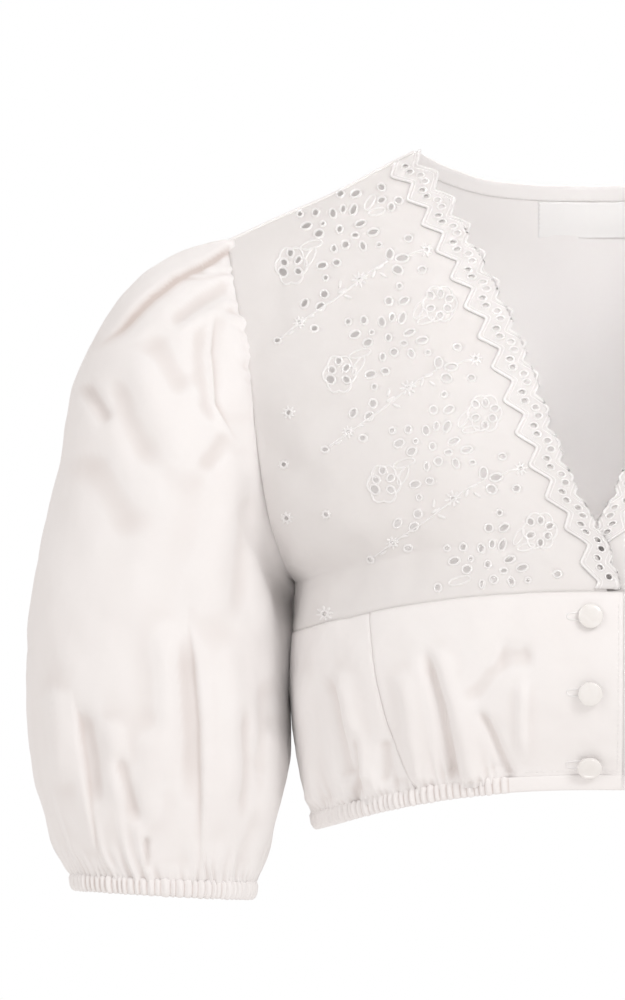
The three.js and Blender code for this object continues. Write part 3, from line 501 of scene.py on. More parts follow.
sleeveShape = {
    # outer x, z and inner x, z of the ring in the front view, depth before and behind, middle, own share
    "rings": [
        (-187, -46, -152, -222, 52, 56, 0, 0), (-198, -49.3, -153.6, -228, 58, 62, 0, 0.25),
        (-213.3, -52.5, -155.4, -236, 64, 66, 0, 0.6), (-228.4, -62.4, -157, -246, 67, 68, -1, 0.9),
        (-242, -77.2, -158.2, -257, 69, 69, -2, 1), (-256, -97.4, -158.6, -268, 70, 69, -3, 1),
        (-266.5, -123, -158.6, -281, 70, 69, -4, 1), (-275, -168, -157.5, -296, 69, 68, -5, 1),
        (-284, -210, -156, -311, 68, 66, -6, 1), (-289.2, -252, -157.5, -325, 65, 63, -7, 1),
        (-288.4, -292, -160.8, -340, 60, 58, -8, 1), (-283, -325, -165.6, -354, 53, 51, -9, 1),
        (-275, -352, -169.8, -366, 45, 43, -10, 1), (-266.2, -370.4, -173, -374.8, 39.5, 37.5, -10.5, 1)],
    "squareness": 2.15,
    "sizes": ((150, 320), (110, 200)),
    "armpit": 206,  # degrees of the place under the arm, behind the side of the bodice
    "middle": (-215, 0, -200),
    "cuffGathers": 84,
    "capGathers": 14,
    # soft folds: direction at both ends in degrees (0 outwards, 90 front), run, width in degrees, depth
    "folds": [
        (338, 328, -0.1, 0.40, 10, -4), (316, 300, -0.1, 0.32, 9, -3), (296, 276, -0.1, 0.30, 9, -2.6),
        (342, 338, 0.64, 1.1, 9, -3.4), (316, 314, 0.68, 1.1, 9, 3), (290, 286, 0.60, 1.1, 10, -4),
        (262, 260, 0.68, 1.1, 9, 2.8), (232, 230, 0.66, 1.1, 9, -3.2), (6, 6, 0.70, 1.1, 8, 2.0),
        (148, 146, 0.70, 1.1, 9, -2.2), (270, 240, 0.3, 0.8, 14, -2.5), (330, 300, 0.35, 0.85, 16, 2.5)],
    # creases of the front: width, depth, marks and the line in the front view
    "creases": [
        (17, 3.6, "-si", [(-186, -51), (-199, -59), (-214, -67.5), (-225, -76), (-232, -83.5), (-241, -92),
                    (-254, -102)]),
        (5, 1.1, "-s", [(-188, -63), (-199, -65.5), (-211, -65)]),
        (4.2, -3.0, "s", [(-189, -70), (-199, -76), (-208, -83), (-218, -92)]),
        (3.6, 1.8, "s", [(-188, -80), (-200, -87), (-214, -96)]),
        (2.2, 1.0, "s", [(-189, -57), (-200, -63)]),
        (7, 3.4, "", [(-182, -82), (-183, -110), (-180, -140)]),
        (7, 2.4, "-", [(-193, -82), (-195, -104), (-192, -130), (-184, -146), (-180, -152)]),
        (5, -3.4, "", [(-199, -84), (-201, -106), (-197, -130), (-188, -148)]),
        (4.5, -2.2, "", [(-186, -142), (-193, -156), (-201, -166)]),
        (9, 3.2, "", [(-238, -100), (-226, -122), (-212, -150), (-200, -172)]),
        (8, -3.2, "", [(-228, -92), (-215, -112), (-203, -128)]),
        (7, -2.4, "", [(-246, -112), (-238, -138), (-224, -168)]),
        (4, -3.4, "", [(-262, -118), (-254, -130), (-247, -143)]),
        (10, -2.6, "", [(-262, -150), (-246, -176), (-232, -206)]),
        (11, 3.2, "", [(-180, -150), (-190, -178), (-196, -215), (-197, -250)]),
        (6, -2.6, "", [(-174, -165), (-178, -205), (-181, -245)]),
        (9, 2.6, "+", [(-207, -236), (-203, -262), (-200.5, -292), (-200, -322), (-200, -352), (-199, -366)]),
        (5, -3.2, "", [(-210, -244), (-207, -270), (-205, -300), (-205, -340)]),
        (7, 3.0, "", [(-220, -236), (-218, -268), (-217, -300), (-219, -336)]),
        (7, 2.4, "", [(-188, -246), (-186, -280), (-186, -310), (-189, -350)]),
        (4, -2.8, "", [(-178, -280), (-176, -312), (-179, -350)]),
        (7, 2.4, "-", [(-266, -274), (-262, -300), (-258, -325), (-254, -350), (-252, -364)]),
        (4.5, -3.6, "", [(-262, -282), (-257, -305), (-252, -340)]),
        (6, 2.6, "", [(-274, -270), (-272, -300), (-268, -330)]),
        (6, 2.8, "", [(-246, -288), (-243, -312), (-240, -340)]),
        (3.4, -3.6, "", [(-243, -306), (-237, -328), (-231, -348)]),
        (1.6, -2.2, "e", [(-228, -350), (-228, -366)]),
        (7, 2.4, "", [(-226, -290), (-227, -320), (-225, -348)]),
        (5, -2.6, "", [(-168, -262), (-167, -295), (-171, -335)]),
        (4, 1.8, "", [(-162, -290), (-163, -320), (-168, -350)])],
}


def armholePoint(degrees):
    front = armholeFront.at(np.clip(1 - degrees / 180, 0, 1))
    back = armholeBack.at(np.clip(degrees / 180 - 1, 0, 1))
    return np.where((degrees <= 180)[..., None], front, back)


def ringPoint(ring, degrees):
    # A place on a sleeve ring: 0 degrees outwards and 90 forwards.
    outX, outZ, inX, inZ, front, back, middle = ring[:7]
    a = np.radians(degrees)
    outwards, forward = (levelled(w, 2 / sleeveShape["squareness"]) for w in (np.cos(a), np.sin(a)))
    share = (1 - outwards) / 2
    y = middle - forward * np.where(forward > 0, front, back)
    return np.stack([outX + (inX - outX) * share, y, outZ + (inZ - outZ) * share], -1)


def sleevePoint(degrees, place):
    # Place 0 is the armhole seam and 13 the cuff. Near the seam the armhole's own shape is carried along.
    rings = np.moveaxis(between(sleeveShape["rings"], place), -1, 0)
    one = np.ones_like(place)
    carried = armholePoint(degrees) * np.stack([one, 1 + 0.1 * place, one], -1)
    carried = carried + np.stack([-9 * place, 0 * place, -3 * np.abs(place) ** 1.5], -1)
    return carried + (ringPoint(rings, degrees) - carried) * np.clip(rings[7], 0, 1)[..., None]


def sleeveSheet(side):
    shape = sleeveShape
    rng = random.Random(11 if side > 0 else 23)
    last = len(shape["rings"]) - 1
    rowCount, columnCount = shape["sizes"][0 if side > 0 else 1]
    place = np.linspace(0, 1, rowCount) ** 0.94 * last
    degrees = np.linspace(0, 360, columnCount, endpoint=False)
    grid = np.meshgrid(degrees, place)
    points = sleevePoint(*grid)
    d, share = grid[0], grid[1] / last
    # the sleeve fills out under the arm
    armpit = shape["armpit"]
    points[..., 0] += 8 * bell((d - armpit) / 26) * softStep(share / 0.03) * softStep((0.45 - share) / 0.25)
    axis = np.array(shape["middle"])
    normals = gridNormals(points, True, axis)
    points = drawnIn(points, normals, shape["creases"])
    height = np.zeros(d.shape)
    for startAt, endAt, begin, end, width, depth in shape["folds"]:
        run = np.clip((share - begin) / (end - begin), 0, 1)
        off = np.abs((d - (startAt + (endAt - startAt) * run) + 180) % 360 - 180)
        fade = softStep((share + 0.02) / 0.1) * softStep((1.02 - share) / 0.05)
        vary = rng.uniform(0.8, 1.2)
        height += vary * depth * bell(off / width) * np.sin(math.pi * run) ** 0.8 * fade
    height += 9 * bell((d - armpit - 4) / 32) * softStep(share / 0.05) * softStep((0.72 - share) / 0.3)
    facing = softStep(-normals[..., 1] * 2.2 + 0.2)
    height += creaseField(points, facing, shape["creases"])
    behind = points * np.array([1, -1, 1]) + np.array([0, 0, -9])
    backCreases = [(width, 0.8 * depth, marks, line) for width, depth, marks, line in shape["creases"][8::2]]
    height += creaseField(behind, softStep(normals[..., 1] * 2.2 + 0.2), backCreases)
    # pleats that rise from the cuff and hang from the cap
    toCuff = np.linalg.norm(points - points[-1:], axis=2)
    toCap = np.linalg.norm(points - points[:1], axis=2)
    rows = []
    for k in range(shape["cuffGathers"]):
        at = (k + rng.uniform(-0.3, 0.3)) * 360 / shape["cuffGathers"]
        long = rng.choice([12, 14, 16, 20, 26, 38, 52])
        rows.append((at, rng.uniform(1.25, 1.8), rng.uniform(0.9, 1.5) + 0.016 * long, long))
    height += gathers(d, toCuff, rows) - 0.7 * softStep(1 - toCuff / 16)
    rows = []
    for k in range(shape["capGathers"]):
        at = 14 + k * 66 / shape["capGathers"] + rng.uniform(-2, 2)
        rows.append((at, rng.uniform(1.2, 1.9), rng.uniform(0.6, 1.2) * rng.choice([-1, 1]),
                     rng.choice([8, 12, 16, 24])))
        rows.append((-at - 20, 2.4, rng.uniform(0.4, 0.9) * rng.choice([-1, 1]), rng.choice([12, 18, 26])))
    height += gathers((d + 180) % 360 - 180, toCap, rows)
    # painted shade in the hollows of the folds, none at the armhole seam, and painted shadow lines under overlapping
    # folds
    shade = paintedHollowShade(height, wrap=True) * softStep(toCap / 4) + paintedFoldShadows(points, facing, shape["creases"])
    shade = np.pad(shade, ((2, 1), (0, 0)))
    height += wrinkles(points, 34, 1.2, 3.1 * side) * softStep(share / 0.08) * softStep((1 - share) / 0.05)
    height += wrinkles(points, 12, 0.25, 9.7 * side)
    height -= 0.5 * bell(toCap / 1.6)
    points = points + normals * height[..., None]
    allowance = [points[:1] * np.array([1, scale, 1]) + np.array([run, 0, 0])
                 for scale, run in ((0.97, 3.4), (0.985, 1.8))]
    tuck = points[-1:] + (points[-1].mean(0) - points[-1:]) * 0.025 - np.array([0, 0, 3.2])
    points = np.concatenate(allowance + [points, tuck])
    if side < 0:
        points = mirrored(points)
    normals = gridNormals(points, True, axis * np.array([side, 1, 1]))
    name = sideName[side] + "Sleeve"
    return clothSheet(name, points, normals, seams="bt", wrap=True, shade=shade)


for side, name in sideName.items():
    sleeve = sleeveSheet(side)
    finishPiece(sleeve, plainCotton, [name + "_sleeve"])
print("blouse: sleeves made")


# Bands under the bust

bandMiddle = (0, 0, -270)
bandShape = {
    "dart": (0.405, 0.507),  # the seam's turn at the casing and at the yoke
    "elasticStart": 0.165,
    # broad waves: turn, width, depth and how far up they reach
    "waves": [
        (0.2, 0.03, -2.6, 0.75), (0.255, 0.03, 2.6, 0.45), (0.31, 0.028, -2.4, 0.6), (0.36, 0.026, 2.2, 0.4),
        (0.45, 0.03, -3.2, 0.9), (0.52, 0.04, 2.8, 0.55), (0.6, 0.03, -2.4, 0.5), (0.67, 0.035, 2.4, 0.6),
        (0.75, 0.03, -2.6, 0.65), (0.83, 0.035, 2, 0.5)],
    "creases": [
        (3.4, -3.0, "e", [(-88, -252), (-84, -266), (-79, -283), (-72, -318)]),
        (5.5, 1.9, "e", [(-80, -250), (-76, -268), (-70, -286), (-62, -318)]),
        (5, 1.6, "e", [(-98, -262), (-95, -285), (-90, -318)]),
        (6, -1.7, "", [(-52, -256), (-40, -259), (-30, -258)]),
        (5, -1.6, "", [(-42, -258), (-54, -268), (-66, -284)]),
        (3.2, 1.5, "", [(-37.6, -266), (-37.8, -290), (-37, -314)]),
        (2.6, -2.2, "e", [(-60, -284), (-53, -298), (-44, -318)]),
        (3.4, -2.6, "e", [(-138, -264), (-133, -284), (-126, -318)]),
        (4.4, 2.0, "e", [(-130, -262), (-125, -285), (-117, -318)]),
        (2.8, -2.2, "e", [(-122, -294), (-121, -318), (-121, -340)]),
        (4, 1.6, "e", [(-148, -262), (-146, -290), (-142, -330)]),
        (3, -1.6, "e", [(-108, -300), (-106, -320)])],
    "gathers": 48,
    "sizes": {"centre": ((96, 170), (64, 100)), "side": ((96, 128), (64, 80))},
}


def hemGathers(seed, count, start, end, long=(7, 9, 11, 14, 20, 30)):
    rng = random.Random(seed)
    step = (end - start) / count
    return [(start + (k + 0.5 + rng.uniform(-0.28, 0.28)) * step, step * rng.uniform(0.24, 0.36),
             rng.uniform(0.8, 1.5), rng.choice(long)) for k in range(count)]


def bandWrinkles(points, side):
    return wrinkles(points, 26, 0.8, 4.4 * side) + wrinkles(points, 9, 0.22, 2.2 * side)


def bandHeight(points, turn, level, side, seams):
    # How far the band's cloth stands off its plain shape.
    share = (level - 1) / 5
    height = np.zeros(turn.shape)
    for at, width, depth, reach in bandShape["waves"]:
        height += 0.8 * depth * bell((turn - at) / width) * softStep((reach - share) / reach) * softStep(share / 0.12)
    strength = 1.5 if side > 0 else 1.3
    height += strength * creaseField(points, 1, bandShape["creases"]) * softStep((1 - share) / 0.12)
    above = points[..., 2] - bodyPoint(turn, np.ones(turn.shape))[..., 2]
    start = bandShape["elasticStart"]
    pleats = gathers(turn, above, hemGathers(31 + side, bandShape["gathers"], start, 1))
    height += pleats * softStep((turn - start) / 0.03)
    height += bandWrinkles(points, side)
    height -= 0.4 * bell((1 - share) * 100 / 1.4)
    for place in seams:
        height -= 0.4 * bell(np.linalg.norm(points - place[:, None], axis=2) / 1.4)
    return height


def halfWidth(level):
    return between(bodySections, level)[..., 3]


def bandSheet(part, side):
    rows, columns = bandShape["sizes"][part][0 if side > 0 else 1]
    level = np.linspace(1, 6, rows)
    low, high = bandShape["dart"]
    dart = low + (high - low) * (level - 1) / 5
    if part == "centre":
        start = np.array([turnAt(w, overlap) for w in halfWidth(level)])
        end = dart - 0.0006
    else:
        start, end = dart + 0.0006, np.ones(rows)
    turn = start[:, None] + (end - start)[:, None] * np.linspace(0, 1, columns)
    level = np.repeat(level[:, None], columns, 1)
    points = bodyPoint(turn, level)
    normals = gridNormals(points, out=bandMiddle)
    seams = [points[:, -1]] if part == "centre" else [points[:, 0], points[:, -1]]
    height = bandHeight(points, turn, level, side, seams)
    # painted shade in the hollows of the waves, creases and gathers, with the fine wrinkles left out
    shade = np.pad(paintedHollowShade(height - bandWrinkles(points, side)), ((1, 0), (0, 0)))
    points = points + normals * height[..., None]
    points = np.concatenate([points[:1] - normals[:1] * 0.9 - np.array([0, 0, 3.2]), points])
    if side < 0:
        points = setBack(mirrored(points))
    normals = gridNormals(points, out=bandMiddle)
    name = sideName[side] + "Band" + part.capitalize()
    return clothSheet(name, points, normals, seams="btr" if part == "centre" else "btlr", shade=shade)


for side, name in sideName.items():
    for part, flat in (("centre", (0.15, 0.096)), ("side", (0.13, 0.1))):
        band = bandSheet(part, side)
        node = name + "_band_" + part
        finishPiece(band, plainCotton, [node])
print("blouse: bands made")


# Elastic casings at the hem and the cuffs

casingShape = {
    # cross-section: share of the way down, how far it swells with the gathers, and the plain set-out
    "section": [
        (0.0, 0.25, 0.0), (0.08, 0.6, 0.35), (0.28, 1.0, 0.6), (0.5, 1.0, 0.7), (0.72, 1.0, 0.6), (0.92, 0.7, 0.3),
        (1.02, 0.4, -0.4), (0.98, 0.0, -1.2), (0.7, 0.0, -1.7), (0.35, 0.0, -1.7), (0.05, 0.0, -1.2)],
    "perGather": 10,
    "cuffDrop": (1, -8.6, -1, -9, 0, 0, 0, 0),  # from the sleeve's last ring to the cuff's lower edge
}
plainCrest = 0.12  # the height of a casing where it isn't gathered


def casingSheet(name, top, bottom, out, crests, wrap=False):
    # crests: the height of the gathers at each place along the casing, from 0 in a pinch to 1 or so.
    rows = []
    for down, swell, plain in casingShape["section"]:
        lean = 0.45 * np.roll(crests, int(round(2 * math.sin(3 * down))))
        swollen = plain + 2.3 * swell * (crests * 0.55 + lean) - 0.6 * swell
        rows.append(top + (bottom - top) * down + out * swollen[:, None])
        rows[-1][:, 2] += (crests - 0.6) * 1.3 * (0.5 - down) + (0.5 * (crests - 0.6) if down < 0.1 else 0)
    points = np.stack(rows)
    if wrap:
        points = np.concatenate([points, points[:, :1]], axis=1)
    around, along = points.shape[:2]
    faces = []
    for i in range(around):
        k = (i + 1) % around
        faces += [(i * along + j, i * along + j + 1, k * along + j + 1, k * along + j) for j in range(along - 1)]
    if not wrap:
        faces.append(tuple(i * along for i in range(around)))
        faces.append(tuple(i * along + along - 1 for i in reversed(range(around))))
    uv = np.stack(np.meshgrid(running(points[3]), running(points[:, 0])), -1).reshape(-1, 2) / 1000
    # painted shade in the pinches between gathers, strongest on the swollen rows of the section
    pinchShade = np.clip(1 - crests / 0.42, 0, 1) * (crests != plainCrest)
    pinchShade = np.append(pinchShade, pinchShade[0]) if wrap else pinchShade
    swells = np.array([row[1] for row in casingShape["section"]])
    shade = (swells[:, None] * pinchShade[None]).ravel()
    return newPiece(name, points.reshape(-1, 3), faces, uv, shade, turn=True, weld=True)


def crestHeights(count, seed):
    # Rounded crests between sharp pinches, each of its own width and height.
    rng = random.Random(seed)
    per = casingShape["perGather"]
    widths = np.array([rng.uniform(0.7, 1.3) for _ in range(count)])
    edges = np.concatenate([[0], np.cumsum(widths)]) / widths.sum()
    tall = np.array([rng.uniform(0.55, 1.15) for _ in range(count)])
    t = np.linspace(0, 1, count * per, endpoint=False)
    k = np.clip(np.searchsorted(edges, t, side="right") - 1, 0, count - 1)
    inside = (t - edges[k]) / (edges[k + 1] - edges[k])
    crest = tall[k] * np.abs(np.sin(math.pi * inside)) ** 0.85
    return t, crest


def levelDirection(turn, level):
    a, b = bodyPoint(turn + 0.01, level), bodyPoint(turn - 0.01, level)
    t = (a - b)[..., :2]
    n = unit(np.stack([t[..., 1], -t[..., 0], np.zeros(t.shape[:-1])], -1))
    p = bodyPoint(turn, level)
    return n * np.sign(np.sum(n[..., :2] * p[..., :2], -1))[..., None]


def frontHem(side):
    count = bandShape["gathers"]
    t, crest = crestHeights(count, 5 + side)
    start = bandShape["elasticStart"]
    turn = start + (1 - start) * t
    flat = np.linspace(turnAt(142, overlap), start, 36, endpoint=False)
    turn = np.concatenate([flat, turn, [1.0]])
    grown = crest * softStep((t + 0.004) / 0.03) + plainCrest * (1 - softStep(t / 0.03))
    crest = np.concatenate([np.full(len(flat), plainCrest), grown, [0.3]])
    top, bottom = bodyPoint(turn, np.ones(len(turn))), bodyPoint(turn, np.zeros(len(turn)))
    out = levelDirection(turn, np.zeros(len(turn)) + 0.5)
    if side < 0:
        top, bottom, out = setBack(mirrored(top)), setBack(mirrored(bottom)), mirrored(out)
    return casingSheet(sideName[side] + "HemCasing", top, bottom, out, crest)


for side, name in sideName.items():
    finishPiece(frontHem(side), plainCotton, [name + "_hem_casing"])
t, crest = crestHeights(96, 77)
turn = 1 + 2 * t
level = np.zeros(len(turn))
top, bottom, out = bodyPoint(turn, level + 1), bodyPoint(turn, level), levelDirection(turn, level + 0.5)
backHem = casingSheet("backHemCasing", top, bottom, out, crest)
finishPiece(backHem, plainCotton, ["back_hem_casing"])


def cuffSheet(side):
    count = sleeveShape["cuffGathers"]
    t, crest = crestHeights(count, 40 + side)
    degrees = 360 * t
    ring = np.array(sleeveShape["rings"][-1], float)
    top, bottom = (ringPoint(r, degrees) for r in (ring, ring + casingShape["cuffDrop"]))
    out = top - (top.max(0) + top.min(0)) / 2
    out = unit(out * (1, 1, 0))
    if side < 0:
        top, bottom, out = mirrored(top), mirrored(bottom), mirrored(out)
    return casingSheet(sideName[side] + "CuffCasing", top, bottom, out, crest, wrap=True)


for side, name in sideName.items():
    finishPiece(cuffSheet(side), plainCotton, [name + "_cuff_casing"])
print("blouse: casings made")


# The back, with the binding and the bare label inside its neck

backShape = {
    "neckShare": 0.53,
    "rows": (50, 56),
    "columns": 120,
    "creases": [
        (5, -2.2, "", [(-96, -300), (-92, -262), (-80, -226)]),
        (6, 1.8, "", [(-60, -308), (-62, -276), (-58, -244)]),
        (5, -2.0, "", [(-30, -308), (-34, -270), (-30, -236)]),
        (5, -1.7, "", [(14, -308), (10, -274), (12, -246)]),
        (6, -2.1, "", [(48, -306), (54, -268), (50, -230)]),
        (6, 1.7, "", [(84, -306), (82, -268), (74, -232)]),
        (5, -2.0, "", [(118, -316), (114, -276), (100, -238)]),
        (9, -1.6, "", [(-130, -214), (-104, -190), (-82, -176)]),
        (9, -1.5, "", [(132, -212), (108, -186), (88, -170)]),
        (12, -1.0, "", [(-40, -120), (-8, -128), (36, -118)])],
}
backFoot = seamLine(bodyPoint(np.linspace(2, 1, 80), np.full(80, 7.0)), 2)


def backTop(u):
    split = backShape["neckShare"]
    neck, rest = backNeck.at(np.clip(u / split, 0, 1)), shoulder.at(np.clip((u - split) / (1 - split), 0, 1))
    return np.where((u < split)[..., None], neck, rest)


def backPatch(u, v):
    return patchPoint(u, v, backFoot.at, backTop, centreBack.at, armholeBack.at)


def backGrid():
    lowRows, highRows = backShape["rows"]
    half = backShape["columns"] // 2
    u = np.linspace(0, 1, half + 1)
    rows = []
    for level in np.linspace(1, 7, lowRows):
        rows.append(seamLine(bodyPoint(np.linspace(2, 1, 60), np.full(60, level)), 2).at(u))
    rows += list(backPatch(*np.meshgrid(u, np.linspace(0, 1, highRows)[1:])))
    right = np.stack(rows)
    return np.concatenate([right[:, ::-1], mirrored(right[:, 1:])], 1)


points = backGrid()
normals = gridNormals(points, out=(0, 0, -200))
turn = 2 + np.arctan2(points[..., 0], points[..., 1]) * 2 / math.pi
above = points[..., 2] - bodyPoint(turn, np.ones(turn.shape))[..., 2]
height = creaseField(points, softStep(normals[..., 1] * 3), backShape["creases"])
height += gathers(turn, above, hemGathers(8, 92, 1, 3))
fromNeck = softStep((np.linalg.norm(points - points[-1:], axis=2) - 8) / 34)
# painted shade in the hollows, at half strength and fading out near the neck
shade = 0.5 * paintedHollowShade(height) * fromNeck
height += wrinkles(points, 34, 1.2, 6.1) + wrinkles(points, 11, 0.25, 1.3)
for place in (points[:, 0], points[:, -1]):
    height -= 0.6 * bell(np.linalg.norm(points - place[:, None], axis=2) / 1.5)
points = points + normals * (height * fromNeck)[..., None]
back = clothSheet("backPanel", points, gridNormals(points, out=(0, 0, -200)), seams="btlr", shade=shade)
finishPiece(back, backCotton, ["back"])


def insideBack(u, down, lift):
    # A place on the back's inner side: u from -1 to 1 across, down in mm from the neck, lift in mm inwards.
    v = 1 - down / centreBack.length

    def at(u, v):
        p = backPatch(np.abs(u), v)
        return p * np.stack([np.where(u > 0, -1, 1), np.ones(u.shape), np.ones(u.shape)], -1)

    p = at(u, v)
    n = unit(np.cross(at(u + nudge, v) - at(u - nudge, v), at(u, v) - at(u, v - nudge)))
    n *= np.sign(np.sum(n * (p - np.array([0, 0, -80])), -1))[..., None]
    return p - n * lift[..., None]


neckTrim = {
    # the binding's fold over the edge: mm down from the neck line, mm inwards
    "fold": [(1.4, -0.25), (0.7, -0.4), (0.1, -0.3), (-0.25, 0.2), (0.1, 0.8), (0.9, 1.05), (2.4, 0.95), (5, 0.9),
             (7.4, 0.95), (8.5, 0.95), (9.2, 0.6)],
    "reach": 0.513, "columns": 140, "label": (54, 20.5), "labelDrop": 9.6,
}
u = np.linspace(-neckTrim["reach"], neckTrim["reach"], neckTrim["columns"])
down, lift = (np.repeat(np.array(c, float)[:, None], len(u), 1) for c in zip(*neckTrim["fold"]))
u = np.repeat(u[None], len(down), 0)
grid, lifted = (insideBack(u, np.maximum(down, 0.1), lift + more) for more in (0, 1))
ways = lifted - grid
grid[..., 2] += np.where(down < 0, 0.35, 0)
ways[:3] *= -1
ways[3] = (0, 0, 1)
binding = clothSheet("backNeckBinding", grid, ways, thick=0.32)
finishPiece(binding, backCotton, ["back_neck_binding"])

labelWidth, labelHeight = neckTrim["label"]
halfShare = labelWidth / 2 / backNeck.length * backShape["neckShare"]
u, down = np.meshgrid(np.linspace(-halfShare, halfShare, 60), neckTrim["labelDrop"] + np.linspace(0, labelHeight, 24))
across, along = (u / halfShare + 1) / 2, (down - neckTrim["labelDrop"]) / labelHeight
bulge = 0.95 + 0.5 * np.sin(math.pi * across) * np.sin(math.pi * along) ** 2
grid = insideBack(u, down, bulge)
label = clothSheet("neckLabel", grid, insideBack(u, down, bulge + 1) - grid, thick=0.35)
finishPiece(label, labelSatin, ["neck_label"])
print("blouse: back made")


# Yokes with cut and embroidered eyelets

rowTable = np.linspace(0, 1, 60)
rowSpans = []
for v in rowTable:
    rowSpans.append(running(yokePoint(np.linspace(0, 1, 80), np.full(80, v)))[-1])
yokeHeight = neckline.length
print("blouse: neck edge %.0f mm, yoke rows %.0f to %.0f mm" % (yokeHeight, rowSpans[0], rowSpans[-1]))

yokeShape = {
    "grid": 2.2,
    "innerEdge": 8.0,  # where the yoke ends under the edging, mm from the neck edge
    "hem": 2.2,  # how far its seamed edges are turned in
    "creases": [
        (8, -1.8, "s", [(-172, -150), (-150, -166), (-136, -186)]),
        (9, 1.5, "", [(-168, -120), (-150, -140), (-142, -160)]),
        (7, -1.6, "s", [(-166, -200), (-140, -214), (-118, -226)]),
        (9, 1.4, "", [(-150, -176), (-128, -190), (-104, -200)]),
        (5, -1.3, "s", [(-128, -232), (-120, -212), (-118, -194)]),
        (5, -1.0, "s", [(-96, -230), (-92, -210), (-92, -192)]),
        (6, -1.2, "s", [(-40, -226), (-46, -206), (-56, -190)]),
        (8, -1.0, "", [(-150, -40), (-160, -70), (-164, -100)]),
        (16, 1.2, "", [(-60, -110), (-80, -140), (-96, -176)])],
}


def rowSpan(v):
    return np.interp(v, rowTable, rowSpans)


def yokeSkin(u, v, lift=0.0, side=1):
    # The yoke's outer face with its soft creases, and a lift off it.
    p = yokePoint(u, v)
    across, up = (yokePoint(u + a, v + b) - yokePoint(u - a, v - b) for a, b in ((nudge, 0), (0, nudge)))
    n = turnedFrom((0, 0, -150), p, unit(np.cross(across, up)))
    height = creaseField(p, 1, yokeShape["creases"]) * (1 if side > 0 else 0.85)
    height += wrinkles(p, 30, 0.9, 5.5 * side) + wrinkles(p, 8, 0.22, 8.5 * side)
    edge = np.minimum(np.minimum(v, 1 - v) * yokeHeight, (1 - u) * rowSpan(v))
    height = height * softStep(edge / 10) - 0.7 * bell(edge / 1.5)
    p = p + n * (height + lift)[..., None]
    if side < 0:
        return setBack(mirrored(p)), mirrored(n)
    return p, n


def frontPlace(x, z):
    # The share across and up of the place that the front view shows at x and z.
    u, v = np.full(x.shape, 0.5), np.clip(1 + z / 235, 0.02, 0.98)
    for _ in range(16):
        p = yokePoint(u, v)
        du, dv = (yokePoint(u + nudge, v) - p) / nudge, (p - yokePoint(u, v - nudge)) / nudge
        scale = du[..., 0] * dv[..., 2] - du[..., 2] * dv[..., 0]
        scale = np.where(np.abs(scale) < 1, -1.0, scale)
        toX, toZ = x - p[..., 0], z - p[..., 2]
        u = np.clip(u + np.clip((toX * dv[..., 2] - toZ * dv[..., 0]) / scale, -0.2, 0.2), 0, 1)
        v = np.clip(v + np.clip((toZ * du[..., 0] - toX * du[..., 2]) / scale, -0.2, 0.2), 0.004, 0.996)
    return u, v


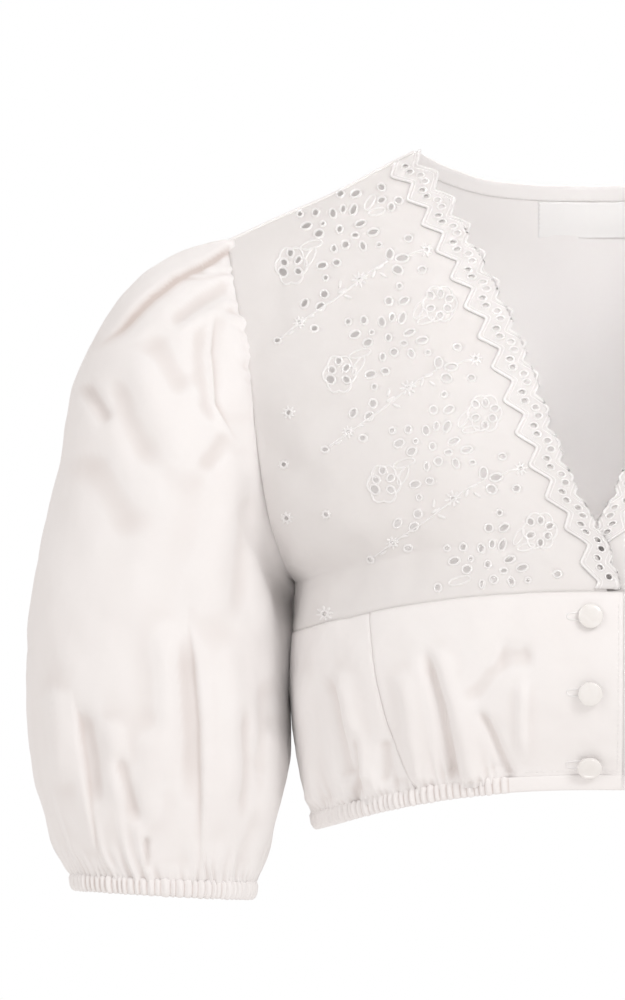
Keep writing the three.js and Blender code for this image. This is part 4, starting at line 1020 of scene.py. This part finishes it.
# One repeat of the embroidery, charted in mm about its middle: x, z, width, height and tilt of each eyelet.
repeat = {
    "at": [(-129.7, -41), (-105.1, -96.9), (-82.6, -152.8), (-55, -212)],
    "spray": [
        (0.2, 0, 2.2, 2.8, 0), (-3.1, 8, 2.6, 4, 12), (2.1, 10.3, 1.9, 3.1, -8), (7.3, 10.1, 5, 2.5, 68),
        (10.9, 2.7, 4.8, 2.4, 20), (8.1, -3, 2.8, 1.9, 0), (17.3, -1.6, 4.9, 2.5, 14), (11.9, -8.5, 2.2, 4, 20),
        (20.3, -8, 1.9, 1.6, 0), (3.1, -7.6, 3.1, 3.1, 0), (-2.7, -9.9, 1.9, 3.1, 0), (-7.4, -9.8, 5, 2.7, 68),
        (-10.3, -2.5, 4, 3.1, 25), (-8.3, 2.7, 1.6, 1.6, 0), (-12.1, 8.6, 2.5, 3.1, 0), (-16.7, 1.6, 4.7, 2.7, 20),
        (-20.1, 8.1, 2.2, 2.2, 0), (0.6, 18.4, 3.1, 3.1, 0), (8.3, 18.6, 4.6, 2.7, 30), (6.1, 26.1, 1.9, 2.1, 0),
        (-8.8, -18.8, 4.6, 2.6, 14), (-1.4, -17.2, 3.1, 2.5, 0), (-6.9, -25.3, 1.9, 2.2, 0)],
    "branch": [
        (-31.7, -57.1, 2.7, 2, 0), (-17.6, -38.5, 4, 2.7, 60), (-7.5, -33.8, 3.3, 3.3, 0), (-9.5, -40.3, 4, 3, 45),
        (-4.4, -40.8, 4.7, 2.7, 75), (-12.6, -51.3, 3, 2.3, 0), (25.7, -13.2, 3.1, 5, 0), (32, -15.4, 5.7, 3, 8),
        (29.7, -21.4, 4.3, 3.5, -30), (35.2, -5, 3.1, 2.5, 0), (42.2, -21, 3, 2.5, 0)],
    "stars": [(-20.1, -48.3, 3.4), (10.3, -26.1, 4.3), (44.4, -11.1, 3.6)],
    "leaves": [
        (1.6, -32, 5.2, 2.0, 30), (4.6, -35.2, 4.6, 1.9, -20), (0.4, -28.4, 4.4, 1.8, 80),
        (20.5, -19.9, 5.2, 2.0, 20), (17.4, -23.4, 4.4, 1.8, 70), (22.6, -24.2, 4.4, 1.8, -35),
        (-24.8, -53.4, 4.2, 1.6, 35), (-14.2, -45.2, 4.2, 1.6, 15)],
    "stems": [
        [(-30, -56), (-21, -49), (-12, -43), (-3, -37), (6, -30), (16, -22), (25, -17)],
        [(35, -14), (39, -12), (44, -11)]],
    # flowers: middle, petal eyelets round it, half width and half height of the scalloped outline
    "flowers": [
        {"at": (-24.6, -18.7), "size": (8.2, 9.8), "petals": [
            (-0.5, 6.9, 2.6, 3.2, 0), (-3.8, 2.2, 2.6, 3.1, 40), (3.5, 3.1, 2.4, 3.4, -40),
            (-4.5, -2.7, 3.5, 4.3, 45), (-0.8, -4.9, 2.5, 3, 0), (3.6, -2.9, 2.6, 3.4, 50)]},
        {"at": (26.4, 17), "size": (8.6, 9.4), "petals": [
            (-4.7, 4.5, 2.6, 3.4, 45), (0.4, 5.2, 2.4, 3.4, 0), (5, 2.5, 3.4, 2.6, 20), (-4.7, -2.2, 3.4, 2.5, 20),
            (4, -2.5, 3, 3.2, 40), (0.2, -6, 2.4, 3.2, 0)]}],
    "outlined": [
        (-14.2, -8.2, 11.4, 3.8, 15), (-14.8, -14.4, 10.6, 3.6, 62), (15.6, 14, 9.2, 3.6, 60),
        (19.3, 8.8, 8.8, 3.4, 12)],
    # single stars and eyelets away from the sprays, in the blouse's own x and z
    "single": [
        (-154.4, -135.4, 3.6), (-159, -161.5, 2.6), (-156.4, -188.7, 3.4), (-135.9, -186.7, 2.6),
        (-136.9, -237.4, 4.2)],
}


def turned(x, z, degrees):
    c, s = math.cos(math.radians(degrees)), math.sin(math.radians(degrees))
    return np.stack([x * c - z * s, x * s + z * c], -1)


def ellipse(x, z, width, height, tilt, count, grow=0.0):
    t = np.linspace(0, 2 * math.pi, count, endpoint=False)
    return turned((width / 2 + grow) * np.cos(t), (height / 2 + grow) * np.sin(t), tilt) + (x, z)


class threadWork:
    # Raised satin stitching, drawn flat in mm and then laid on the cloth in one piece.
    def __init__(self):
        self.flat, self.lift, self.faces, self.uv, self.count = [], [], [], [], 0

    def strip(self, path, width, height, closed=True):
        path = np.array(path, float)
        n = len(path)
        along = np.roll(path, -1, 0) - np.roll(path, 1, 0) if closed else np.gradient(path, axis=0)
        along = unit(along)
        sideways = np.stack([-along[:, 1], along[:, 0]], 1)
        width = np.broadcast_to(width, n)
        section = [(-0.5, -0.35), (-0.36, 0.7 * height), (0, height), (0.36, 0.7 * height), (0.5, -0.35)]
        run = running(path)
        for k, (off, lift) in enumerate(section):
            self.flat.append(path + sideways * (off * width)[:, None])
            self.lift.append(np.full(n, lift))
            self.uv.append(np.stack([run, np.full(n, off * 2.0)], 1) / 1000)
        size = len(section)
        for i in range(n if closed else n - 1):
            j = (i + 1) % n
            for k in range(size):
                m = (k + 1) % size
                self.faces.append(tuple(self.count + v for v in (k * n + i, k * n + j, m * n + j, m * n + i)))
        if not closed:
            self.faces.append(tuple(self.count + k * n for k in range(size)))
            self.faces.append(tuple(self.count + k * n + n - 1 for k in reversed(range(size))))
        self.count += size * n

    def leaf(self, x, z, length, width, tilt, height=0.7, count=9):
        t = np.linspace(-0.5, 0.5, count)
        widths = width * np.sqrt(np.maximum(1 - (2 * t) ** 2, 0.02))
        self.strip(turned(t * length, np.zeros(count), tilt) + (x, z), widths, height, False)

    def star(self, x, z, radius):
        for k in range(8):
            a = 45 * k + 10
            middle = turned(np.array(radius * 0.68), np.array(0.0), a) + (x, z)
            self.leaf(middle[0], middle[1], radius * 0.62, radius * 0.36, a, 0.45, 6)

    def build(self, name, lay):
        points = lay(np.vstack(self.flat), np.concatenate(self.lift))
        return newPiece(name, points, self.faces, np.vstack(self.uv), turn=True)


def chartedEyelets():
    rows = []
    for x, z in repeat["at"]:
        rows += [(x + a, z + b, w, h, tilt) for a, b, w, h, tilt in repeat["spray"] + repeat["branch"]]
        for flower in repeat["flowers"]:
            fx, fz = flower["at"]
            rows += [(x + fx + a, z + fz + b, w, h, tilt) for a, b, w, h, tilt in flower["petals"]]
        rows += [(x + a, z + b, 1.9, 1.9, 0) for a, b, r in repeat["stars"]]
    rows += [(x, z, 2.2, 2.2, 0) for x, z, r in repeat["single"]]
    rows = np.array(rows)
    u, v = frontPlace(rows[:, 0], rows[:, 1])
    found = yokePoint(u, v)[:, [0, 2]]
    off = np.linalg.norm(found - rows[:, :2], axis=1)
    reach = np.maximum(rows[:, 2], rows[:, 3]) / 2 + 2.2
    clear = np.minimum(np.minimum(v, 1 - v) * yokeHeight, (1 - u) * rowSpan(v)) > reach
    clear &= (u * rowSpan(v) > 15 + 3.3 + reach * 0.8) & (off < 0.5)
    kept = []
    for row in rows[clear]:
        if all(math.hypot(row[0] - o[0], row[1] - o[1]) > (max(row[2:4]) + max(o[2:4])) / 2 + 0.9 for o in kept):
            kept.append(row)
    return kept


eyelets = chartedEyelets()
print("blouse: %d eyelets a yoke" % len(eyelets))


def onYoke(x, z, reach):
    # Whether a motif lies clear of the seams and the edging.
    u, v = frontPlace(np.array([float(x)]), np.array([float(z)]))
    near = np.linalg.norm(yokePoint(u, v)[0, [0, 2]] - (x, z)) < 0.5
    edge = min(v[0] * yokeHeight, (1 - v[0]) * yokeHeight, (1 - u[0]) * rowSpan(v[0]))
    return near and edge > reach and u[0] * rowSpan(v[0]) > 16 + reach


def yokeThreads():
    work = threadWork()
    for x, z, w, h, tilt in eyelets:
        work.strip(ellipse(x, z, w, h, tilt, 16, 0.5), 1.2, 0.55)
    for x, z in repeat["at"]:
        for a, b, r in repeat["stars"]:
            if onYoke(x + a, z + b, r + 1):
                work.star(x + a, z + b, r)
        for a, b, long, wide, tilt in repeat["leaves"]:
            if onYoke(x + a, z + b, long / 2 + 1):
                work.leaf(x + a, z + b, long, wide, tilt)
        for a, b, long, wide, tilt in repeat["outlined"]:
            if onYoke(x + a, z + b, long / 2 + 1):
                work.strip(ellipse(x + a, z + b, long, wide, tilt, 24), 1.0, 0.5)
        for flower in repeat["flowers"]:
            a, b = flower["at"]
            if onYoke(x + a, z + b, 10):
                t = np.linspace(0, 2 * math.pi, 60, endpoint=False)
                r = 0.86 + 0.16 * np.abs(np.cos(3 * t))
                outline = np.stack([flower["size"][0] * r * np.cos(t), flower["size"][1] * r * np.sin(t)], 1)
                work.strip(outline + (x + a, z + b), 1.2, 0.55)
        for stem in repeat["stems"]:
            line = np.array(stem, float) + (x, z)
            if all(onYoke(*p, 2) for p in line):
                t = np.linspace(0, len(line) - 1, 6 * len(line))
                fine = np.stack([np.interp(t, range(len(line)), line[:, k]) for k in (0, 1)], 1)
                work.strip(fine, 1.0, 0.5, False)
    for x, z, r in repeat["single"]:
        if onYoke(x, z, 2):
            work.star(x, z, r)
    return work


def fillBetween(outline, holes, step, far=0.75):
    # Triangles that fill an outline round its holes, all in flat mm.
    low, high = outline.min(0), outline.max(0)
    xs, ys = np.arange(low[0], high[0], step), np.arange(low[1], high[1], step * 0.87)
    grid = np.stack(np.meshgrid(xs, ys), -1)
    grid[1::2, :, 0] += step / 2
    grid = grid.reshape(-1, 2)
    keep = np.ones(len(grid), bool)
    rings = [outline] + holes
    for ring in rings:
        near = np.ones(len(grid), bool)
        if ring is not outline:
            middle = ring.mean(0)
            near = np.abs(grid - middle).max(1) < np.abs(ring - middle).max() + step
        index = np.nonzero(near & keep)[0]
        for start in range(0, len(index), 4000):
            part = index[start:start + 4000]
            d = np.linalg.norm(grid[part, None] - ring[None], axis=2).min(1)
            keep[part[d < far * step * 0.8]] = False
    grid = grid[keep]
    verts = np.vstack(rings + [grid])
    edges, start = [], 0
    for ring in rings:
        n = len(ring)
        edges += [(start + i, start + (i + 1) % n) for i in range(n)]
        start += n
    found = geometry.delaunay_2d_cdt([Vector(p) for p in verts.tolist()], edges, [], 1, 1e-5)
    flat = np.array([tuple(p) for p in found[0]])
    faces = np.array([f for f in found[2] if len(f) == 3])
    middle = flat[faces].mean(1)
    inside = np.zeros(len(faces), bool)
    for ring in holes:
        centre = ring.mean(0)
        index = np.nonzero(np.abs(middle - centre).max(1) < np.abs(ring - centre).max())[0]
        a, b = ring, np.roll(ring, -1, 0)
        way, off = b - a, middle[index, None] - a
        cross = way[:, 0] * off[..., 1] - way[:, 1] * off[..., 0]
        inside[index] |= np.all(cross > 0, 1) | np.all(cross < 0, 1)
    return flat, faces[~inside]


def flatSheet(name, flat, faces, points, normals, thick):
    tri = points[faces]
    if np.sum(np.cross(tri[:, 1] - tri[:, 0], tri[:, 2] - tri[:, 0]) * normals[faces[:, 0]]) < 0:
        faces = faces[:, ::-1]
    used, faces = np.unique(faces, return_inverse=True)
    thick = thick[used] if np.ndim(thick) else thick
    return clothMesh(name, points[used], faces.reshape(-1, 3).tolist(), normals[used], thick, flat[used] / 1000)


def yokeFlat():
    step = yokeShape["grid"]
    v = np.linspace(0, 1, int(yokeHeight / step))
    rows = int(rowSpans[0] / step), int(rowSpans[-1] / step)
    start = yokeShape["innerEdge"]
    foot = [(x, 0.0) for x in np.linspace(start, rowSpans[0], rows[0])]
    side = [(rowSpan(s), s * yokeHeight) for s in v[1:]]
    top = [(x, yokeHeight) for x in np.linspace(rowSpans[-1], start, rows[1])[1:]]
    inner = [(start, s * yokeHeight) for s in v[::-1][1:-1]]
    outline = np.array(foot + side + top + inner)
    holes = []
    for x, z, w, h, tilt in eyelets:
        ring = ellipse(x, z, w, h, tilt, 16, 0.05)
        u, s = frontPlace(ring[:, 0], ring[:, 1])
        holes.append(np.stack([u * rowSpan(s), s * yokeHeight], 1))
    return fillBetween(outline, holes, step)


flat, faces = yokeFlat()
v = np.clip(flat[:, 1] / yokeHeight, 0, 1)
u = flat[:, 0] / rowSpan(v)
seamed = np.minimum(np.minimum(v, 1 - v) * yokeHeight, (1 - u) * rowSpan(v)) < 0.2
threads = yokeThreads()
for side, name in sideName.items():
    points, normals = yokeSkin(u, v, 0.0, side)
    yoke = flatSheet(name + "Yoke", flat, faces, points, normals, np.where(seamed, yokeShape["hem"], clothDepth))
    finishPiece(yoke, eyeletCotton, [name + "_yoke"])
    work = threads.build(name + "Embroidery", lambda flat, lift: yokeSkin(*frontPlace(*flat.T), lift, side)[0])
    finishPiece(work, satinThread)
print("blouse: yokes made, %d triangles a face" % len(faces))


# The scalloped edging round the neck, in flat mm: across from the neck edge and up along it

edgingShape = {"width": 15.0, "pitch": 20.0, "depth": 6.6, "lift": 0.95, "grid": 1.7, "dotPitch": 5, "dot": 2.9}


def zigzag(s):
    # Tips stand 15 mm up and then every 20, with slightly rounded corners.
    turn = ((s - 5) / edgingShape["pitch"]) % 1
    wave = 1 - 2 * np.abs(2 * turn - 1)
    return -edgingShape["depth"] / 2 * np.clip(-wave * 1.12, -1, 1) * np.where(np.abs(wave) > 0.86, 0.985, 1)


def edgingAt(flat, lift, side):
    v = np.clip(flat[:, 1] / yokeHeight, 0.003, 0.997)
    return yokeSkin(flat[:, 0] / rowSpan(v), v, lift, side)


along = np.arange(1.2, yokeHeight - 1.2, 1.25)
neckSide = np.stack([zigzag(along), along], 1)
yokeEdge = np.stack([zigzag(along) + edgingShape["width"], along], 1)
ends = np.linspace(0, 1, 10)[1:-1, None]
top, foot = (neckSide[k] + (yokeEdge[k] - neckSide[k]) * way for k, way in ((-1, ends), (0, ends[::-1])))
outline = np.vstack([neckSide, top, yokeEdge[::-1], foot])
dots = []
pitch, size = edgingShape["dotPitch"], edgingShape["dot"]
for k in range(int(yokeHeight / pitch)):
    s = (k + 0.5) * pitch
    if 4 < s < yokeHeight - 4:
        dots.append((float(zigzag(np.array(s))) * 0.95 + 7.2, s, size, size, 0))
holes = [ellipse(*dot, 14, 0.05) for dot in dots]
flat, faces = fillBetween(outline, holes, edgingShape["grid"])
work = threadWork()
for dot in dots:
    work.strip(ellipse(*dot, 14, 0.42), 1.1, 0.45)
for edge, off in ((neckSide, 0.55), (yokeEdge, -0.55)):
    work.strip(edge + (off, 0), 1.5, 0.55, False)
work.strip(neckSide + (2.6, 0), 0.6, 0.25, False)
work.strip(yokeEdge - (2.6, 0), 0.6, 0.25, False)
for side, name in sideName.items():
    points, normals = edgingAt(flat, np.full(len(flat), edgingShape["lift"]), side)
    edging = flatSheet(name + "NeckEdging", flat, faces, points, normals, clothDepth)
    finishPiece(edging, edgingCottonPaintedShade, [name + "_neck_edging"])
    cords = work.build(name + "EdgingCords", lambda flat, lift: edgingAt(flat, lift + edgingShape["lift"], side)[0])
    finishPiece(cords, satinThread)
print("blouse: edging made")


# Buttons, buttonholes and stitching

fastening = {"levels": (-238, -276.4, -313.2), "x": -3.2, "diameter": 12.5, "holes": (-15.0, 0.5), "holeHeight": 3.6}


def makeButton():
    bpy.ops.object.select_all(action="DESELECT")
    bpy.ops.mesh.primitive_cylinder_add(
        vertices=40, radius=fastening["diameter"] / 2000, depth=0.0022, calc_uvs=False, location=(0, 0, 0))
    blank = bpy.context.object
    bpy.ops.object.mode_set(mode="EDIT")
    bpy.ops.mesh.select_mode(type="FACE")
    # the rim and the dish of the face, then the back's shank
    for facing, steps in ((1, ((0.0011, 0.0004), (0.0012, 0.0003), (0.0012, 0.0001))), (-1, ((0.0036, 0),))):
        bpy.ops.mesh.select_all(action="DESELECT")
        mesh = bmesh.from_edit_mesh(blank.data)
        for face in mesh.faces:
            face.select = facing * face.normal.z > 0.9
        bmesh.update_edit_mesh(blank.data)
        for thickness, depth in steps:
            bpy.ops.mesh.inset(thickness=thickness, depth=depth)
    bpy.ops.mesh.extrude_region_move(TRANSFORM_OT_translate={"value": (0, 0, -0.0011)})
    bpy.ops.object.mode_set(mode="OBJECT")
    for kind, settings in (
            ("BEVEL", {"width": 0.0006, "segments": 3, "limit_method": "ANGLE"}), ("SUBSURF", {"levels": 1})):
        modifier = blank.modifiers.new(kind.lower(), kind)
        for key, value in settings.items():
            setattr(modifier, key, value)
        bpy.ops.object.modifier_apply(modifier=modifier.name)
    bpy.ops.object.shade_smooth()
    return blank


def pearlMaterial():
    material, tree, shader = newMaterial("buttonPearl")
    coords = addNode(tree, "ShaderNodeTexCoord")
    swirl = addNode(tree, "ShaderNodeTexNoise", {"Scale": 110, "Distortion": 1.2, "Vector": coords["Object"]})
    ramp = tree.nodes.new("ShaderNodeValToRGB")
    low, high = ramp.color_ramp.elements
    low.position, low.color = 0.3, (0.82, 0.80, 0.78, 1)
    high.position, high.color = 0.7, (0.86, 0.845, 0.83, 1)
    feed(tree, ramp, {"Fac": swirl["Fac"]})
    feed(tree, shader, {"Base Color": ramp.outputs["Color"], "Roughness": 0.18, "Coat Weight": 0.5})
    return material


buttonPearl = pearlMaterial()
sectionRows = np.array(bodySections)
blank = makeButton()
for i, level in enumerate(fastening["levels"]):
    front, above, below = (np.interp(level + off, sectionRows[:, 0], sectionRows[:, 4]) for off in (0, 4, -4))
    # the face looks forwards and a little down, square to the leaning band
    tilt = Matrix.Rotation(math.pi / 2 + math.atan2(above - below, 8), 4, "X")
    place = Matrix.Translation(Vector((fastening["x"], -front - 0.2, level)) / 1000)
    button = bpy.data.objects.new("button%d" % (i + 1), blank.data.copy())
    button.data.transform(place @ tilt @ Matrix.Translation((0, 0, 0.0032)))
    bpy.context.collection.objects.link(button)
    finishPiece(button, buttonPearl, ["button_%d" % (i + 1)])
bpy.data.objects.remove(blank)


def bandPlace(x, z):
    # Turn and level of the place on the right band that the front view shows at x and z.
    level = np.interp(z, sectionRows[:7, 0], np.arange(7))
    half = halfWidth(level)
    turn = -np.sign(x) * np.arcsin(np.clip(np.abs(x) / half, 0, 1) ** (squareness / 2)) * 2 / math.pi
    return turn, level


def bandSkin(x, z, lift, side=1):
    turn, level = bandPlace(x, z)
    p = bodyPoint(turn, level)
    n = unit(np.cross(bodyPoint(turn + nudge, level) - p, bodyPoint(turn, level + 5 * nudge) - p))
    n = turnedFrom(bandMiddle, p, n)
    return p + n * (bandHeight(p, turn, level, side, []) + lift)[..., None], n


work = threadWork()
t = np.linspace(0, 2 * math.pi, 40, endpoint=False)
left, right = fastening["holes"]
across = (left + right) / 2 + (right - left) / 2 * levelled(np.cos(t), 0.5)
up = fastening["holeHeight"] / 2 * levelled(np.sin(t), 0.6)
for level in fastening["levels"]:
    work.strip(np.stack([across, level + up], 1), 1.1, 0.3)
holesWork = work.build("buttonholeStitches", lambda flat, lift: bandSkin(*flat.T, lift)[0])
finishPiece(holesWork, satinThread)


def makeStitchBlank():
    bpy.ops.object.select_all(action="DESELECT")
    bpy.ops.mesh.primitive_uv_sphere_add(segments=6, ring_count=4, radius=0.5)
    blank = bpy.context.object
    verts = np.array([tuple(v.co) for v in blank.data.vertices])
    faces = []
    for face in blank.data.polygons:
        corners = tuple(face.vertices)
        first = corners.index(min(corners))
        faces.append(corners[first:] + corners[:first])
    bpy.data.objects.remove(blank)
    # sorted, because Blender lists a sphere's faces in another order each run
    return verts, sorted(faces)


stitchVerts, stitchFaces = makeStitchBlank()


def stitchRow(name, rows, pitch=2.7, size=(2.0, 0.42, 0.34)):
    # Sewing stitches along lines of points with their normals, all in one mesh.
    verts, faces = [], []
    for points, normals in rows:
        steps = running(points)
        at = np.arange(pitch / 2, steps[-1], pitch)
        p, n, ahead = (np.stack([np.interp(at + off, steps, c[:, k]) for k in range(3)], 1)
                       for c, off in ((points, 0), (normals, 0), (points, 0.4)))
        along, n = unit(ahead - p), unit(n)
        sideways = np.cross(n, along)
        for k in range(len(at) - 1):
            start = len(verts) * len(stitchVerts)
            v = stitchVerts * np.array(size)
            verts.append(p[k] + v[:, :1] * along[k] + v[:, 1:2] * sideways[k] + v[:, 2:] * n[k])
            faces += [tuple(start + i for i in f) for f in stitchFaces]
    finishPiece(newPiece(name, np.vstack(verts), faces, turn=True), satinThread)


def bandLine(x, z, lift=0.08):
    return bandSkin(x, z, np.full(x.shape, lift))


z = np.linspace(-316, -228, 120)
x = np.linspace(12.5, -38, 90)
rows = [bandLine(np.full(z.shape, 10.9), z), bandLine(x, np.full(x.shape, -316.6))]
stitchRow("placketStitches", rows)


def trimLine(u, down, lift):
    # A stitching line on the back's inner side, with the way that its stitches face.
    inner, lower = (insideBack(u, down, np.full(u.shape, d)) for d in (lift, 2.0))
    return inner, lower - inner


u = np.linspace(-0.5, 0.5, 200)
stitchRow("bindingStitches", [trimLine(u, np.full(u.shape, 8.2), 1.15)])
down = neckTrim["labelDrop"] + np.linspace(0.6, labelHeight - 0.6, 40)
rows = [trimLine(np.full(down.shape, end * halfShare * 0.965), down, 1.02) for end in (-1, 1)]
stitchRow("labelStitches", rows)
print("blouse: fastenings and stitching made")


# Camera, light and floor

studio = {"distance": 8.0, "middle": (-0.1433, 0, -0.1795), "frameHeight": 0.5128, "floor": -0.75}
cameraData = bpy.data.cameras.new("photoCamera")
cameraData.lens = 36 * studio["distance"] / studio["frameHeight"]
cameraData.sensor_width = 36
cameraData.clip_start = 0.01
cameraData.clip_end = 200
camera = bpy.data.objects.new("photoCamera", cameraData)
camera.location = (studio["middle"][0], -studio["distance"], studio["middle"][2])
camera.rotation_euler = (math.radians(90), 0, 0)
bpy.context.collection.objects.link(camera)
bpy.context.scene.camera = camera

# neckLight and hemLight only lift the shade inside the back and behind the hem
lamps = [
    {"name": "keyLight", "at": (1.5, -2.6, 1.4), "size": 1.0, "power": 30, "aim": (-0.1, 0, -0.2)},
    {"name": "sideLight", "at": (-2.0, -2.2, 0.6), "size": 1.6, "power": 8, "aim": (-0.1, 0, -0.2)},
    {"name": "neckLight", "at": (0.2, -1.5, 0.9), "size": 0.24, "power": 0.06, "aim": (0.01, 0.09, -0.09),
     "spread": 15},
    {"name": "backLight", "at": (0.3, 2.4, 1.2), "size": 2.0, "power": 18, "aim": (0, 0, -0.2)},
    {"name": "hemLight", "at": (0.0, -0.03, -0.7), "size": 0.12, "power": 0.042, "aim": (0, 0.06, -0.1),
     "spread": 45},
]
for lamp in lamps:
    data = bpy.data.lights.new(lamp["name"], "AREA")
    data.energy, data.size = lamp["power"], lamp["size"]
    data.spread = math.radians(lamp.get("spread", 180))
    light = bpy.data.objects.new(lamp["name"], data)
    light.location = lamp["at"]
    light.visible_camera = False
    light.rotation_euler = (Vector(lamp["aim"]) - light.location).to_track_quat("-Z", "Y").to_euler()
    bpy.context.collection.objects.link(light)

# the camera sees a white backdrop, and the cloth is lit by a softer, warmer one
world = bpy.data.worlds.new("studioWhite")
bpy.context.scene.world = world
world.use_nodes = True
tree = world.node_tree
backdrop = feed(tree, tree.nodes["Background"], {"Color": (1, 1, 1, 1), "Strength": 1}).outputs[0]
soft = addNode(tree, "ShaderNodeBackground", {"Color": (1.0, 0.955, 0.93, 1), "Strength": 0.77})[0]
seen = addNode(tree, "ShaderNodeLightPath")["Is Camera Ray"]
choose = addNode(tree, "ShaderNodeMixShader", {0: seen, 1: soft, 2: backdrop})[0]
feed(tree, tree.nodes["World Output"], {"Surface": choose})
bpy.context.scene.view_settings.view_transform = "Standard"

bpy.ops.mesh.primitive_plane_add(size=17, location=(0, 0, studio["floor"]))
floor = bpy.context.object
floor.name = "studioFloor"
floorPaper, tree, shader = newMaterial("floorPaper")
feed(tree, shader, {"Base Color": (0.9, 0.89, 0.88, 1), "Roughness": 0.9})
floor.data.materials.append(floorPaper)
print("blouse: studio ready")
